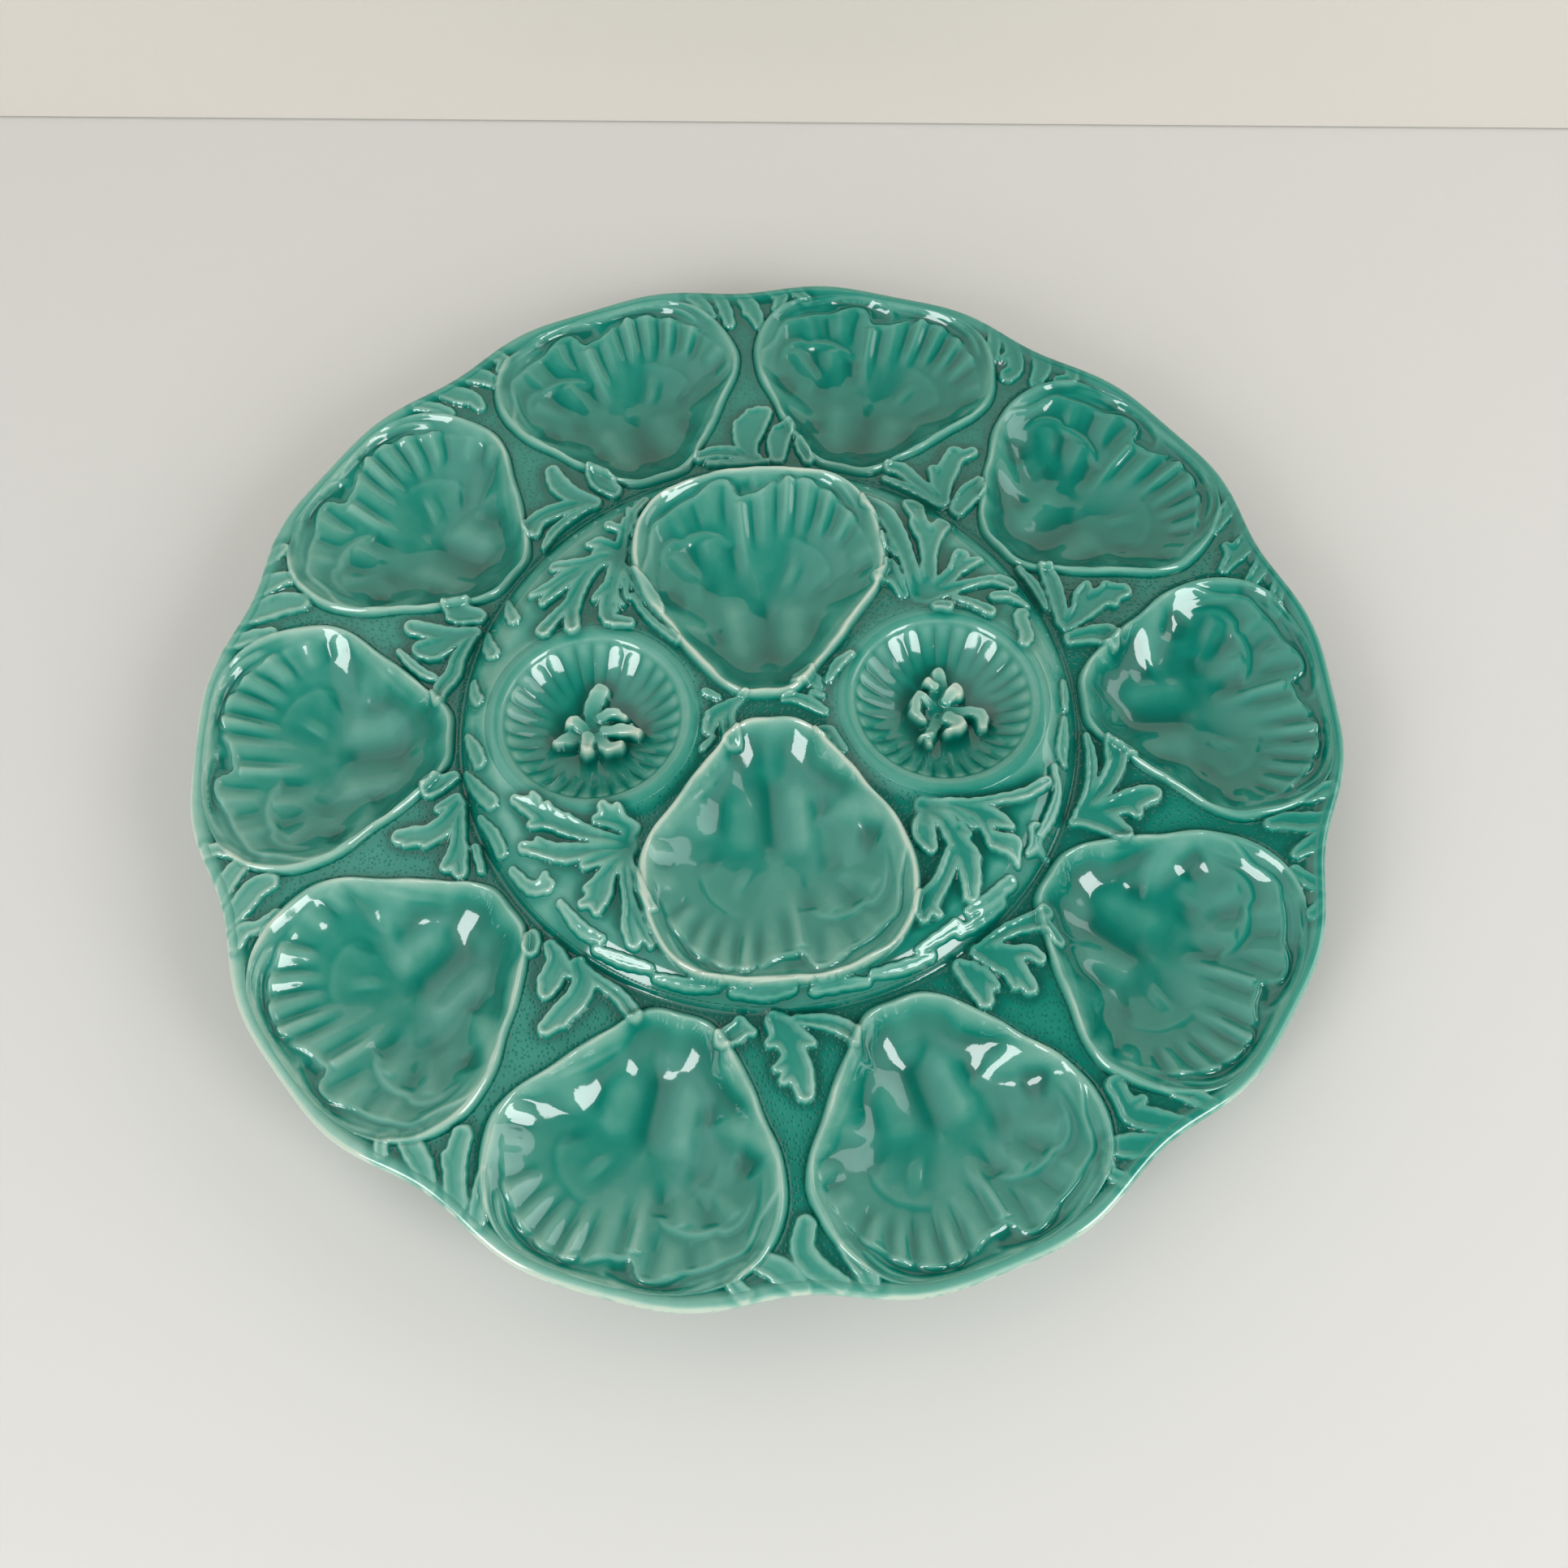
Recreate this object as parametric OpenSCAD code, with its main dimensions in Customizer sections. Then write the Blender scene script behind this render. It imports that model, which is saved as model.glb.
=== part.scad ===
// Oyster plate of glazed earthenware: ten oyster-shell wells round a raised centre, which
// holds two more shell wells and two fluted sauce cups, with seaweed in relief between them.
// The table is z = 0, and the z axis is the middle of the plate. The sauce cups lie on x.

/* [Plate] */
// Height of the rim above the table
rim_h = 30; // [28:0.5:36]
// Rise of the rim above the flat ground between the wells
rim_lift = 1.5; // [0.5:0.1:3]
// Thickness of the flange
flange_t = 5.5; // [4:0.1:7]
// Width of the flange outside the wells
rim_margin = 3.4; // [2.5:0.1:8]
// Depth of the scallops along the rim
scallop_depth = 2.9; // [1:0.1:4]
// Second wave of the scallops, which makes the notches sharper
scallop_pinch = 1.1; // [0:0.1:1.5]

/* [Oyster wells] */
// Length of an outer well from its hinge to its lip
well_l = 80; // [74:1:88]
// Width of the ground left between two neighbouring wells
web_w = 4.6; // [3.5:0.1:10]
// Depth of an outer well below its ridge
well_depth = 15.5; // [12:0.5:18]
// Rise of the ridge round a well above the ground
ridge_rise = 2.4; // [1.5:0.1:4]
// Gap between the hinge of a well and the raised centre
hinge_gap = 2.5; // [2:0.1:5]
// Wall thickness under the wells and cups
wall_t = 5; // [4:0.1:6]
// Height of the growth flutes inside a well
flute_rise = 0.7; // [0.2:0.1:1.2]

/* [Raised centre] */
// Diameter of the raised centre at its base
centre_d = 196; // [192:1:212]
// Height of the raised centre above the ground
centre_rise = 7.5; // [6:0.5:11]
// Thickness of the raised centre
centre_t = 6; // [4.5:0.1:7]
// Width of the slope round the raised centre, as a share of its radius
slope_share = 0.112; // [0.09:0.002:0.13]
// Width of a centre well, as a share of the raised centre's diameter
centre_well_share = 0.44; // [0.4:0.005:0.45]
// Distance between the hinges of the two centre wells
hinge_pitch = 6; // [4:0.5:12]
// Depth of a centre well below its ridge
centre_well_depth = 14; // [11:0.5:15]
// Rise of the ridge round a centre well
centre_ridge_rise = 4.2; // [2:0.1:5]
// Width left on the slope outside a centre well
slope_margin = 6; // [6:0.1:12]

/* [Sauce cups] */
// Outer diameter of the ring round a sauce cup, as a share of the raised centre's diameter
cup_share = 0.347; // [0.31:0.001:0.355]
// Diameter of the fluted bowl of a sauce cup, as a share of its ring
bowl_share = 0.838; // [0.78:0.002:0.85]
// Depth of a sauce cup below its ring
cup_depth = 13; // [10:0.5:14]
// Rise of the ring above the raised centre
ring_rise = 1.8; // [1:0.1:3]
// Flutes in a sauce cup
flutes = 30; // [24:1:32]
// Distance from the ring to the foot of the slope, as a share of the raised centre's radius
cup_margin_share = 0.084; // [0.082:0.002:0.12]

/* [Foot ring] */
// Width of the foot ring
foot_w = 5.4; // [4:0.1:5.8]
// Radius of the foot ring's bottom edges
foot_round = 1.5; // [0.5:0.1:1.8]

/* [Seaweed] */
// Rise of the seaweed above what carries it
leaf_rise = 2.2; // [1:0.1:3]
// Rise of the sprigs along the rim
sprig_rise = 1.5; // [0.8:0.1:2]
// Height of the seaweed knob in a sauce cup
knob_h = 7.5; // [5:0.1:8]
// Clearance under the seaweed and beside the wells
leaf_gap = 0.12; // [0.05:0.01:0.2]

/* [Hidden] */

glaze = "#3f9479";
glaze_light = "#6fb394";
glaze_deep = "#2c7f68";

// Counts and angles
wells = 10;
well_step = 360 / wells;
rim_steps = 240;
leaf_steps = 10;
round_steps = 180;
cup_steps = 120;
pad_steps = 48;

// Overrun of the cutting shapes
over = 1;

// Heights worked out from the sizes above
ground_h = rim_h - rim_lift;
flange_low = ground_h - flange_t;
centre_h = ground_h + centre_rise;
centre_low = centre_h - centre_t;

// Radii worked out from the sizes above
centre_r = centre_d / 2;
hinge_r = centre_r + hinge_gap;
lip_r = hinge_r + well_l;
lobe_r = lip_r + rim_margin;
rim_r = lobe_r - scallop_depth + scallop_pinch;
slope_w = centre_r * slope_share;
ring_r = centre_r * cup_share;
bowl_r = ring_r * bowl_share;
cup_x = centre_r * (1 - cup_margin_share) - ring_r;

// A well is widest at this share of its length, where its neighbours leave the web between them
widest_share = 0.57;
widest_r = hinge_r + widest_share * well_l;
well_w = 2 * widest_r * tan(well_step / 2) - web_w / cos(well_step / 2);
centre_well_w = centre_d * centre_well_share;
centre_well_l = centre_r - slope_margin - hinge_pitch / 2;

// Outline of an oyster shell from its hinge round to the right, as shares of width and length
shell_outline_shares = [
    [0, 0], [0.09, 0.005], [0.155, 0.055], [0.205, 0.12], [0.28, 0.2], [0.37, 0.325],
    [0.445, 0.42], [0.495, 0.525], [0.5, 0.62], [0.482, 0.72], [0.45, 0.81], [0.4, 0.885],
    [0.33, 0.945], [0.235, 0.982], [0.115, 0.997], [0, 1], [-0.11, 0.995], [-0.22, 0.975],
    [-0.325, 0.932], [-0.405, 0.875], [-0.462, 0.8], [-0.492, 0.705], [-0.498, 0.62],
    [-0.482, 0.525], [-0.43, 0.405], [-0.36, 0.31], [-0.295, 0.205], [-0.22, 0.11],
    [-0.155, 0.045], [-0.09, 0.005]];
shell_middle_share = 0.48;
shell_ring_shares = [0.28, 0.5, 0.66, 0.78, 0.87, 0.94, 1];
shell_crest_share = 0.94;
shell_under_shares = [0.45, 0.75, 1];

// Rings of a sauce cup, as shares of the bowl, and of the ring's width outside it
bowl_ring_shares = [0.36, 0.66, 0.86, 1];
crest_ring_share = 0.45;
under_ring_share = 0.6;

// Top of the plate along a radius: the slope round the raised centre, as shares of its width
// and drop, then the ground, which is flat up to a share of the wells' length and then rises
slope_shares = [[0, 0], [0.25, 0.09], [0.5, 0.32], [0.75, 0.68], [1, 1]];
slope_drop_share = 0.93;
slope_drop = centre_rise * slope_drop_share;
flat_share = 0.62;
rise_share = 0.88;
half_lift_share = 0.55;
foot_of_slope_share = 0.4;
flat_r = hinge_r + flat_share * well_l;
rise_r = hinge_r + rise_share * well_l;
edge_r = lobe_r + scallop_depth;
edge_t_share = 0.8;
top_line = concat([[0, centre_h]],
    [for (s = slope_shares) [centre_r - slope_w + s[0] * slope_w, centre_h - s[1] * slope_drop]],
    [[centre_r + hinge_gap * foot_of_slope_share, ground_h], [flat_r, ground_h],
     [rise_r, ground_h + rim_lift * half_lift_share], [edge_r, rim_h]]);
function top_z(r) = lookup(r, top_line);
function radius(p) = norm([p.x, p.y]);

// Radius of the scalloped rim in the direction a
function rim_at(a) = rim_r + scallop_depth * cos(wells * a) - scallop_pinch * cos(2 * wells * a);

// Outline of a shell of width w and length l, whose hinge lies at the distance r from the middle
function shell_outline(w, l, r) = [for (s = shell_outline_shares) [s.x * w, r + s.y * l]];

// Faces of a closed solid from rings of n points, with one point at each end
function ring_faces(n, rings) = concat(
    [for (i = [0:n - 1]) [0, 1 + i, 1 + (i + 1) % n]],
    [for (k = [0:rings - 2]) for (i = [0:n - 1])
        [1 + k * n + i, 1 + (k + 1) * n + i, 1 + (k + 1) * n + (i + 1) % n]],
    [for (k = [0:rings - 2]) for (i = [0:n - 1])
        [1 + k * n + i, 1 + (k + 1) * n + (i + 1) % n, 1 + k * n + (i + 1) % n]],
    [for (i = [0:n - 1]) [1 + rings * n, 1 + (rings - 1) * n + (i + 1) % n, 1 + (rings - 1) * n + i]]);

// Shape of a shell well between its middle and its outline, at the share s and the angle a from
// its lip: steep at the hinge and easy at the lip, with flutes on the lip side and a ledge of
// an older shell layer along the left
wall_power = 2.7;
wall_power_swing = 1.1;
flutes_per_turn = 20;
flute_reach = 107;
flute_band_shares = [0.4, 0.9];
ledge_band_shares = [0.7, 0.9];
ledge_angles = [10, 110];
ledge_flutes = 2;
function within(x, band) = x > band[0] && x < band[1] ? 1 : 0;
function power_at(a) = wall_power - wall_power_swing * cos(a);
function well_drop(s, a) = 1 - pow(min(1, s / shell_crest_share), power_at(a));
function flute_wave(s, a) = cos(a * flutes_per_turn) * within(s, flute_band_shares)
    * within(a, [-flute_reach, flute_reach]);
function ledge(s, a) = ledge_flutes * within(s, ledge_band_shares) * within(a, ledge_angles);

// A shell well: local y points from the hinge to the lip, its edge lies on the plate's top, and
// low is its underside at the edge
module shell_well(w, l, r, depth, ridge, low, rise_at_lip) {
    outline = shell_outline(w, l, r);
    n = len(outline);
    mid = [0, r + shell_middle_share * l];
    crest = top_z(r + l / 2) + ridge;
    floor_z = crest - depth;
    function crest_z(p) = crest + rise_at_lip * (p.y - mid.y) / l;
    function lean(p) = atan2(mid.x - p.x, p.y - mid.y);
    function ring_point(p, s) = mid + (p - mid) * s;
    function inside_z(p, s) = crest_z(p) - (crest_z(p) - floor_z) * well_drop(s, lean(p))
        + flute_rise * (flute_wave(s, lean(p)) + ledge(s, lean(p)));
    top = [for (s = shell_ring_shares) for (p = outline)
        let (q = ring_point(p, s)) [q.x, q.y, s == 1 ? top_z(radius(p)) : inside_z(p, s)]];
    under = [for (k = [len(shell_under_shares) - 1:-1:0]) for (p = outline)
        let (s = shell_under_shares[k], q = ring_point(p, s))
        [q.x, q.y, low - (low - floor_z + wall_t) * (1 - pow(s, power_at(lean(p))))]];
    points = concat([[mid.x, mid.y, floor_z]], top, under, [[mid.x, mid.y, floor_z - wall_t]]);
    polyhedron(points, ring_faces(n, len(shell_ring_shares) + len(shell_under_shares)));
}

module oyster_well(i) {
    color(glaze) rotate([0, 0, (i - 1) * well_step - 90])
        shell_well(well_w, well_l, hinge_r, well_depth, ridge_rise, flange_low, 0);
}

module centre_well(turn) {
    color(glaze) rotate([0, 0, turn])
        shell_well(centre_well_w, centre_well_l, hinge_pitch / 2, centre_well_depth,
            centre_ridge_rise, centre_low, rim_lift);
}

// The space that a shell well takes, grown by a clearance
module shell_space(w, l, r, clear) {
    mid = [0, r + shell_middle_share * l];
    grow = 1 + 2 * clear / l;
    linear_extrude(height = centre_h + rim_h)
        polygon([for (p = shell_outline(w, l, r)) mid + (p - mid) * grow]);
}

module oyster_space(i, clear) {
    rotate([0, 0, (i - 1) * well_step - 90]) shell_space(well_w, well_l, hinge_r, clear);
}

module centre_space(turn, clear) {
    rotate([0, 0, turn]) shell_space(centre_well_w, centre_well_l, hinge_pitch / 2, clear);
}

module cup_space(side, clear) {
    translate([side * cup_x, 0, 0]) cylinder(h = centre_h + rim_h, r = ring_r + clear, $fn = cup_steps);
}

// Scalloped flange and the ground between the wells
module rim_band() {
    color(glaze_light) difference() {
        intersection() {
            rotate_extrude($fn = round_steps)
                polygon(concat([[centre_r, flange_low]],
                    [[centre_r, top_z(centre_r)]],
                    [for (p = top_line) if (p.x > centre_r) p],
                    [[edge_r, rim_h - flange_t * edge_t_share], [rise_r, flange_low + rim_lift],
                     [flat_r, flange_low]]));
            linear_extrude(height = rim_h + over)
                polygon([for (i = [0:rim_steps - 1])
                    let (a = i * 360 / rim_steps) rim_at(a) * [cos(a), sin(a)]]);
        }
        for (i = [1:wells]) oyster_space(i, 0);
    }
}

// Raised middle of the plate, open where the two shell wells and the two cups sit
module raised_centre() {
    color(glaze_light) difference() {
        rotate_extrude($fn = round_steps)
            polygon(concat([[0, centre_low]],
                [for (p = top_line) if (p.x < centre_r) p],
                [[centre_r, top_z(centre_r)], [centre_r, flange_low],
                 [centre_r - foot_w, flange_low], [centre_r - slope_w, centre_low]]));
        for (turn = [0, 180]) centre_space(turn, 0);
        for (side = [-1, 1]) cup_space(side, 0);
    }
}

// Ring that the plate stands on
module foot_ring() {
    color(glaze_deep) rotate_extrude($fn = round_steps)
        polygon([[centre_r - foot_w, foot_round], [centre_r - foot_w + foot_round, 0],
            [centre_r - foot_round, 0], [centre_r, foot_round], [centre_r, flange_low],
            [centre_r - foot_w, flange_low]]);
}

// Fluted round bowl for sauce in a broad smooth ring
module sauce_cup(side) {
    n = 2 * flutes;
    bowl_power = 2.6;
    crest_z = centre_h + ring_rise;
    floor_z = crest_z - cup_depth;
    crest_r = bowl_r + (ring_r - bowl_r) * crest_ring_share;
    lip_z = crest_z - ring_rise / 2;
    floor_share = bowl_ring_shares[0];
    function bowl_z(s) = s == floor_share ? floor_z : lip_z - (lip_z - floor_z) * (1 - pow(s, bowl_power));
    function wave(i, s) = s == floor_share ? 0 : flute_rise * (i % 2 == 0 ? 1 : -1);
    function round_at(r, z, i) = [r * cos(i * 360 / n), r * sin(i * 360 / n), z];
    bowl = [for (s = bowl_ring_shares) for (i = [0:n - 1])
        round_at(bowl_r * s + (s == 1 ? wave(i, s) : 0), bowl_z(s) + (s < 1 ? wave(i, s) : 0), i)];
    ring = [for (p = [[crest_r, crest_z], [ring_r, centre_h], [ring_r, centre_low],
                      [bowl_r * under_ring_share, floor_z - wall_t]])
        for (i = [0:n - 1]) round_at(p.x, p.y, i)];
    points = concat([[0, 0, floor_z]], bowl, ring, [[0, 0, floor_z - wall_t]]);
    color(glaze) translate([side * cup_x, 0, 0])
        polyhedron(points, ring_faces(n, len(bowl_ring_shares) + 4));
}

// Points of a leaf's midrib, a bend through [root, bend, tip], and its direction
function rib(p, t) = (1 - t) * (1 - t) * p[0] + 2 * t * (1 - t) * p[1] + t * t * p[2];
function rib_way(p, t) = 2 * (1 - t) * (p[1] - p[0]) + 2 * t * (p[2] - p[1]);
function unit(v) = v / norm(v);

// Half width of a leaf along its midrib as a share: narrow root, lobes on both sides, round tip
widest_leaf_share = 0.62;
root_share = 0.4;
tip_share = 0.4;
crown_share = 0.5;
lobe_share = 0.26;
lobe_turn = 150;
function leaf_envelope(t) = t < widest_leaf_share
    ? root_share + (1 - root_share) * sin(90 * t / widest_leaf_share)
    : sqrt(1 - (1 - tip_share * tip_share)
        * pow((t - widest_leaf_share) / (1 - widest_leaf_share), 2));
function leaf_lobes(t, lobes, turn) = 1 - lobe_share * cos(360 * lobes * t + turn) * (1 - t / 2);
function leaf_swell(t) = t == 0 || t == 1 ? crown_share : 1;

// One leaf along the bend p = [root, bend, tip], w wide, on the plate's top, or free above a flat
// where it climbs from its root to its tip
module leaf(p, w, lobes, rise, flat_z = undef, climb = 0) {
    n = leaf_steps;
    function carrier(q, t) = is_undef(flat_z) ? top_z(radius(q)) + leaf_gap : flat_z + climb * t;
    rows = [for (i = [0:n])
        let (t = i / n, c = rib(p, t), d = unit(rib_way(p, t)), side = [d.y, -d.x] * w / 2,
            left = side * leaf_envelope(t) * leaf_lobes(t, lobes, 0),
            right = side * leaf_envelope(t) * leaf_lobes(t, lobes, lobe_turn),
            row = [c - left, c - left * crown_share, c + right * crown_share, c + right])
        for (k = [0:3])
            [row[k].x, row[k].y, carrier(row[k], t) + (k == 1 || k == 2 ? rise * leaf_swell(t) : 0)]];
    faces = concat([[0, 1, 2, 3]],
        [for (i = [0:n - 1]) for (k = [0:3])
            [i * 4 + k, (i + 1) * 4 + k, i * 4 + (k + 1) % 4]],
        [for (i = [0:n - 1]) for (k = [0:3])
            [(i + 1) * 4 + k, (i + 1) * 4 + (k + 1) % 4, i * 4 + (k + 1) % 4]],
        [[n * 4 + 3, n * 4 + 2, n * 4 + 1, n * 4]]);
    polyhedron(rows, faces);
}

// Fronds in the gaps at the hinges. Each leaf is [root, bend, tip, width, lobes], across the gap
// and out from the raised centre, in shares of a well's length, and leaves of a gap share a root
gap_frond_shares = [
    [[[0.06, 0.09], [-0.06, 0.24], [-0.02, 0.4], 0.115, 3], [[0.09, 0.1], [0.08, 0.21], [0.17, 0.23], 0.08, 2],
     [[0.02, 0.08], [-0.1, 0.13], [-0.23, 0.09], 0.055, 2]],
    [[[0.08, 0.1], [-0.03, 0.21], [0.03, 0.38], 0.1, 3], [[0.1, 0.1], [0.09, 0.2], [0.16, 0.24], 0.085, 2],
     [[0.03, 0.08], [-0.1, 0.1], [-0.22, 0.1], 0.05, 2]],
    [[[0.02, 0.08], [-0.04, 0.2], [0.06, 0.34], 0.15, 2], [[0.07, 0.09], [0.1, 0.18], [0.18, 0.24], 0.085, 2],
     [[-0.02, 0.08], [-0.13, 0.12], [-0.24, 0.08], 0.06, 2]],
    [[[0.04, 0.09], [0.03, 0.22], [0.05, 0.35], 0.085, 2], [[0.13, 0.07], [0.13, 0.17], [0.17, 0.24], 0.09, 2],
     [[0.02, 0.1], [-0.1, 0.17], [-0.23, 0.12], 0.06, 2]],
    [[[0.1, 0.07], [0.03, 0.16], [0.05, 0.34], 0.075, 2], [[0.14, 0.06], [0.17, 0.16], [0.17, 0.22], 0.1, 2],
     [[0.01, 0.06], [-0.12, 0.14], [-0.25, 0.07], 0.06, 3]],
    [[[0.06, 0.05], [-0.03, 0.16], [0.03, 0.33], 0.085, 3], [[0.18, 0.05], [0.2, 0.1], [0.19, 0.18], 0.09, 2],
     [[0.01, 0.05], [-0.12, 0.08], [-0.2, 0.16], 0.065, 2]],
    [[[0, 0.04], [-0.09, 0.12], [0, 0.34], 0.07, 2], [[0.13, 0.04], [0.09, 0.1], [0.08, 0.2], 0.085, 2],
     [[-0.05, 0.04], [-0.18, 0.03], [-0.25, 0.1], 0.06, 1]],
    [[[0.07, 0.04], [0, 0.12], [-0.05, 0.35], 0.09, 3], [[0.16, 0.04], [0.16, 0.1], [0.22, 0.13], 0.085, 2],
     [[-0.02, 0.05], [-0.14, 0.06], [-0.21, 0.14], 0.06, 1]],
    [[[0.03, 0.08], [-0.03, 0.16], [-0.02, 0.3], 0.09, 3], [[0.1, 0.07], [0.11, 0.16], [0.14, 0.23], 0.095, 2],
     [[-0.1, 0.07], [-0.24, 0.08], [-0.24, 0.17], 0.06, 2]],
    [[[0.08, 0.13], [0.03, 0.2], [-0.05, 0.36], 0.08, 2], [[0.09, 0.13], [0.12, 0.22], [0.18, 0.25], 0.075, 2],
     [[0.06, 0.1], [-0.11, 0.16], [-0.24, 0.11], 0.065, 2]]];

// Sprigs along the rim, in the same shares, but in from the notch of the rim
rim_sprig_shares = [
    [[[-0.06, 0.03], [-0.02, 0.1], [0.02, 0.2], 0.07, 2], [[0.06, 0.03], [0.12, 0.07], [0.13, 0.13], 0.06, 1],
     [[-0.19, 0.02], [-0.13, 0.05], [-0.12, 0.12], 0.05, 1]],
    [[[-0.12, 0.04], [-0.05, 0.08], [-0.02, 0.2], 0.06, 1], [[0.05, 0.03], [0.12, 0.05], [0.13, 0.13], 0.06, 2],
     [[-0.2, 0.02], [-0.15, 0.06], [-0.13, 0.11], 0.045, 1]],
    [[[-0.09, 0.03], [-0.06, 0.1], [-0.05, 0.2], 0.06, 1], [[0, 0.03], [0.06, 0.08], [0.07, 0.19], 0.06, 2],
     [[-0.19, 0.02], [-0.14, 0.06], [-0.13, 0.11], 0.045, 1]],
    [[[-0.06, 0.03], [0, 0.1], [0.01, 0.22], 0.065, 2], [[0.05, 0.03], [0.13, 0.06], [0.14, 0.14], 0.065, 1],
     [[-0.18, 0.02], [-0.13, 0.06], [-0.12, 0.11], 0.045, 1]],
    [[[-0.07, 0.03], [-0.01, 0.1], [0.02, 0.23], 0.09, 2], [[0.06, 0.03], [0.13, 0.06], [0.12, 0.13], 0.06, 2],
     [[-0.18, 0.02], [-0.13, 0.06], [-0.11, 0.11], 0.045, 1]],
    [[[-0.03, 0.03], [0.01, 0.1], [0.03, 0.21], 0.065, 1], [[0.07, 0.03], [0.13, 0.06], [0.14, 0.13], 0.06, 2],
     [[-0.15, 0.02], [-0.11, 0.06], [-0.11, 0.12], 0.045, 1]],
    [[[-0.07, 0.03], [-0.01, 0.11], [0.01, 0.24], 0.07, 2], [[0.07, 0.03], [0.14, 0.06], [0.14, 0.14], 0.065, 2],
     [[-0.19, 0.02], [-0.14, 0.06], [-0.12, 0.11], 0.045, 1]],
    [[[-0.08, 0.03], [0, 0.1], [-0.02, 0.23], 0.065, 2], [[0.04, 0.03], [0.12, 0.06], [0.12, 0.14], 0.07, 1],
     [[-0.2, 0.02], [-0.15, 0.06], [-0.13, 0.12], 0.05, 1]],
    [[[-0.05, 0.03], [0.03, 0.1], [-0.02, 0.25], 0.075, 2], [[0.05, 0.03], [0.12, 0.05], [0.13, 0.12], 0.06, 1],
     [[-0.19, 0.02], [-0.14, 0.06], [-0.12, 0.11], 0.05, 1]],
    [[[-0.12, 0.03], [-0.05, 0.1], [-0.04, 0.21], 0.08, 2], [[0, 0.03], [0.05, 0.08], [0.08, 0.12], 0.055, 2],
     [[-0.19, 0.02], [-0.14, 0.07], [-0.13, 0.14], 0.05, 1]]];

// Sprays on the raised centre: [root, bend, tip, width, lobes] in shares of its base radius
back_left_shares = [
    [[-0.46, 0.62], [-0.46, 0.74], [-0.4, 0.83], 0.06, 2], [[-0.47, 0.6], [-0.52, 0.66], [-0.58, 0.66], 0.055, 2],
    [[-0.46, 0.56], [-0.56, 0.6], [-0.68, 0.56], 0.065, 3], [[-0.45, 0.5], [-0.58, 0.54], [-0.76, 0.45], 0.07, 3],
    [[-0.5, 0.5], [-0.62, 0.46], [-0.68, 0.34], 0.07, 3], [[-0.46, 0.54], [-0.48, 0.42], [-0.46, 0.37], 0.06, 2],
    [[-0.48, 0.5], [-0.5, 0.36], [-0.42, 0.34], 0.055, 2]];
back_right_shares = [
    [[0.47, 0.42], [0.52, 0.58], [0.53, 0.76], 0.07, 3], [[0.5, 0.42], [0.6, 0.52], [0.62, 0.66], 0.075, 2],
    [[0.5, 0.42], [0.62, 0.44], [0.69, 0.55], 0.07, 2], [[0.46, 0.4], [0.66, 0.42], [0.84, 0.42], 0.06, 2],
    [[0.46, 0.44], [0.5, 0.5], [0.5, 0.56], 0.05, 1], [[0.38, 0.36], [0.6, 0.44], [0.8, 0.3], 0.045, 1]];
front_left_shares = [
    [[-0.44, -0.42], [-0.62, -0.4], [-0.8, -0.3], 0.06, 3], [[-0.44, -0.44], [-0.6, -0.46], [-0.8, -0.43], 0.07, 2],
    [[-0.44, -0.46], [-0.6, -0.52], [-0.7, -0.57], 0.06, 2], [[-0.45, -0.47], [-0.54, -0.56], [-0.6, -0.66], 0.065, 3],
    [[-0.47, -0.5], [-0.48, -0.66], [-0.43, -0.79], 0.055, 2], [[-0.42, -0.38], [-0.48, -0.36], [-0.53, -0.36], 0.05, 2]];
front_right_shares = [
    [[0.46, -0.4], [0.66, -0.38], [0.86, -0.32], 0.06, 1], [[0.46, -0.42], [0.62, -0.4], [0.74, -0.5], 0.06, 3],
    [[0.47, -0.44], [0.58, -0.48], [0.7, -0.6], 0.06, 2], [[0.46, -0.44], [0.54, -0.54], [0.6, -0.68], 0.06, 3],
    [[0.46, -0.48], [0.5, -0.6], [0.5, -0.74], 0.06, 2]];

// Small sprigs between the hinges and the cups, and leaves along the slope
middle_left_shares = [
    [[-0.09, -0.02], [-0.14, 0.06], [-0.2, 0.06], 0.035, 1], [[-0.1, -0.03], [-0.15, -0.02], [-0.2, -0.08], 0.04, 2],
    [[-0.11, -0.02], [-0.17, -0.05], [-0.14, -0.13], 0.03, 1]];
middle_right_shares = [
    [[0.1, 0], [0.12, 0.05], [0.19, 0.1], 0.035, 2], [[0.09, 0.02], [0.14, 0.03], [0.2, -0.03], 0.035, 1],
    [[0.12, 0.01], [0.16, -0.02], [0.19, -0.12], 0.035, 1]];
slope_left_shares = [
    [[-0.78, 0.5], [-0.84, 0.46], [-0.87, 0.37], 0.045, 1], [[-0.88, 0.34], [-0.93, 0.28], [-0.92, 0.2], 0.045, 1],
    [[-0.93, -0.02], [-0.95, -0.1], [-0.93, -0.19], 0.04, 1], [[-0.94, -0.12], [-0.94, -0.22], [-0.89, -0.31], 0.045, 2],
    [[-0.9, -0.28], [-0.89, -0.38], [-0.83, -0.46], 0.045, 2]];
slope_right_shares = [
    [[0.9, 0.34], [0.93, 0.27], [0.93, 0.19], 0.045, 2], [[0.95, 0.14], [0.965, 0.06], [0.955, -0.04], 0.04, 1],
    [[0.95, -0.06], [0.96, -0.16], [0.92, -0.28], 0.045, 2], [[0.9, -0.24], [0.9, -0.34], [0.84, -0.45], 0.045, 2]];

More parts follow.
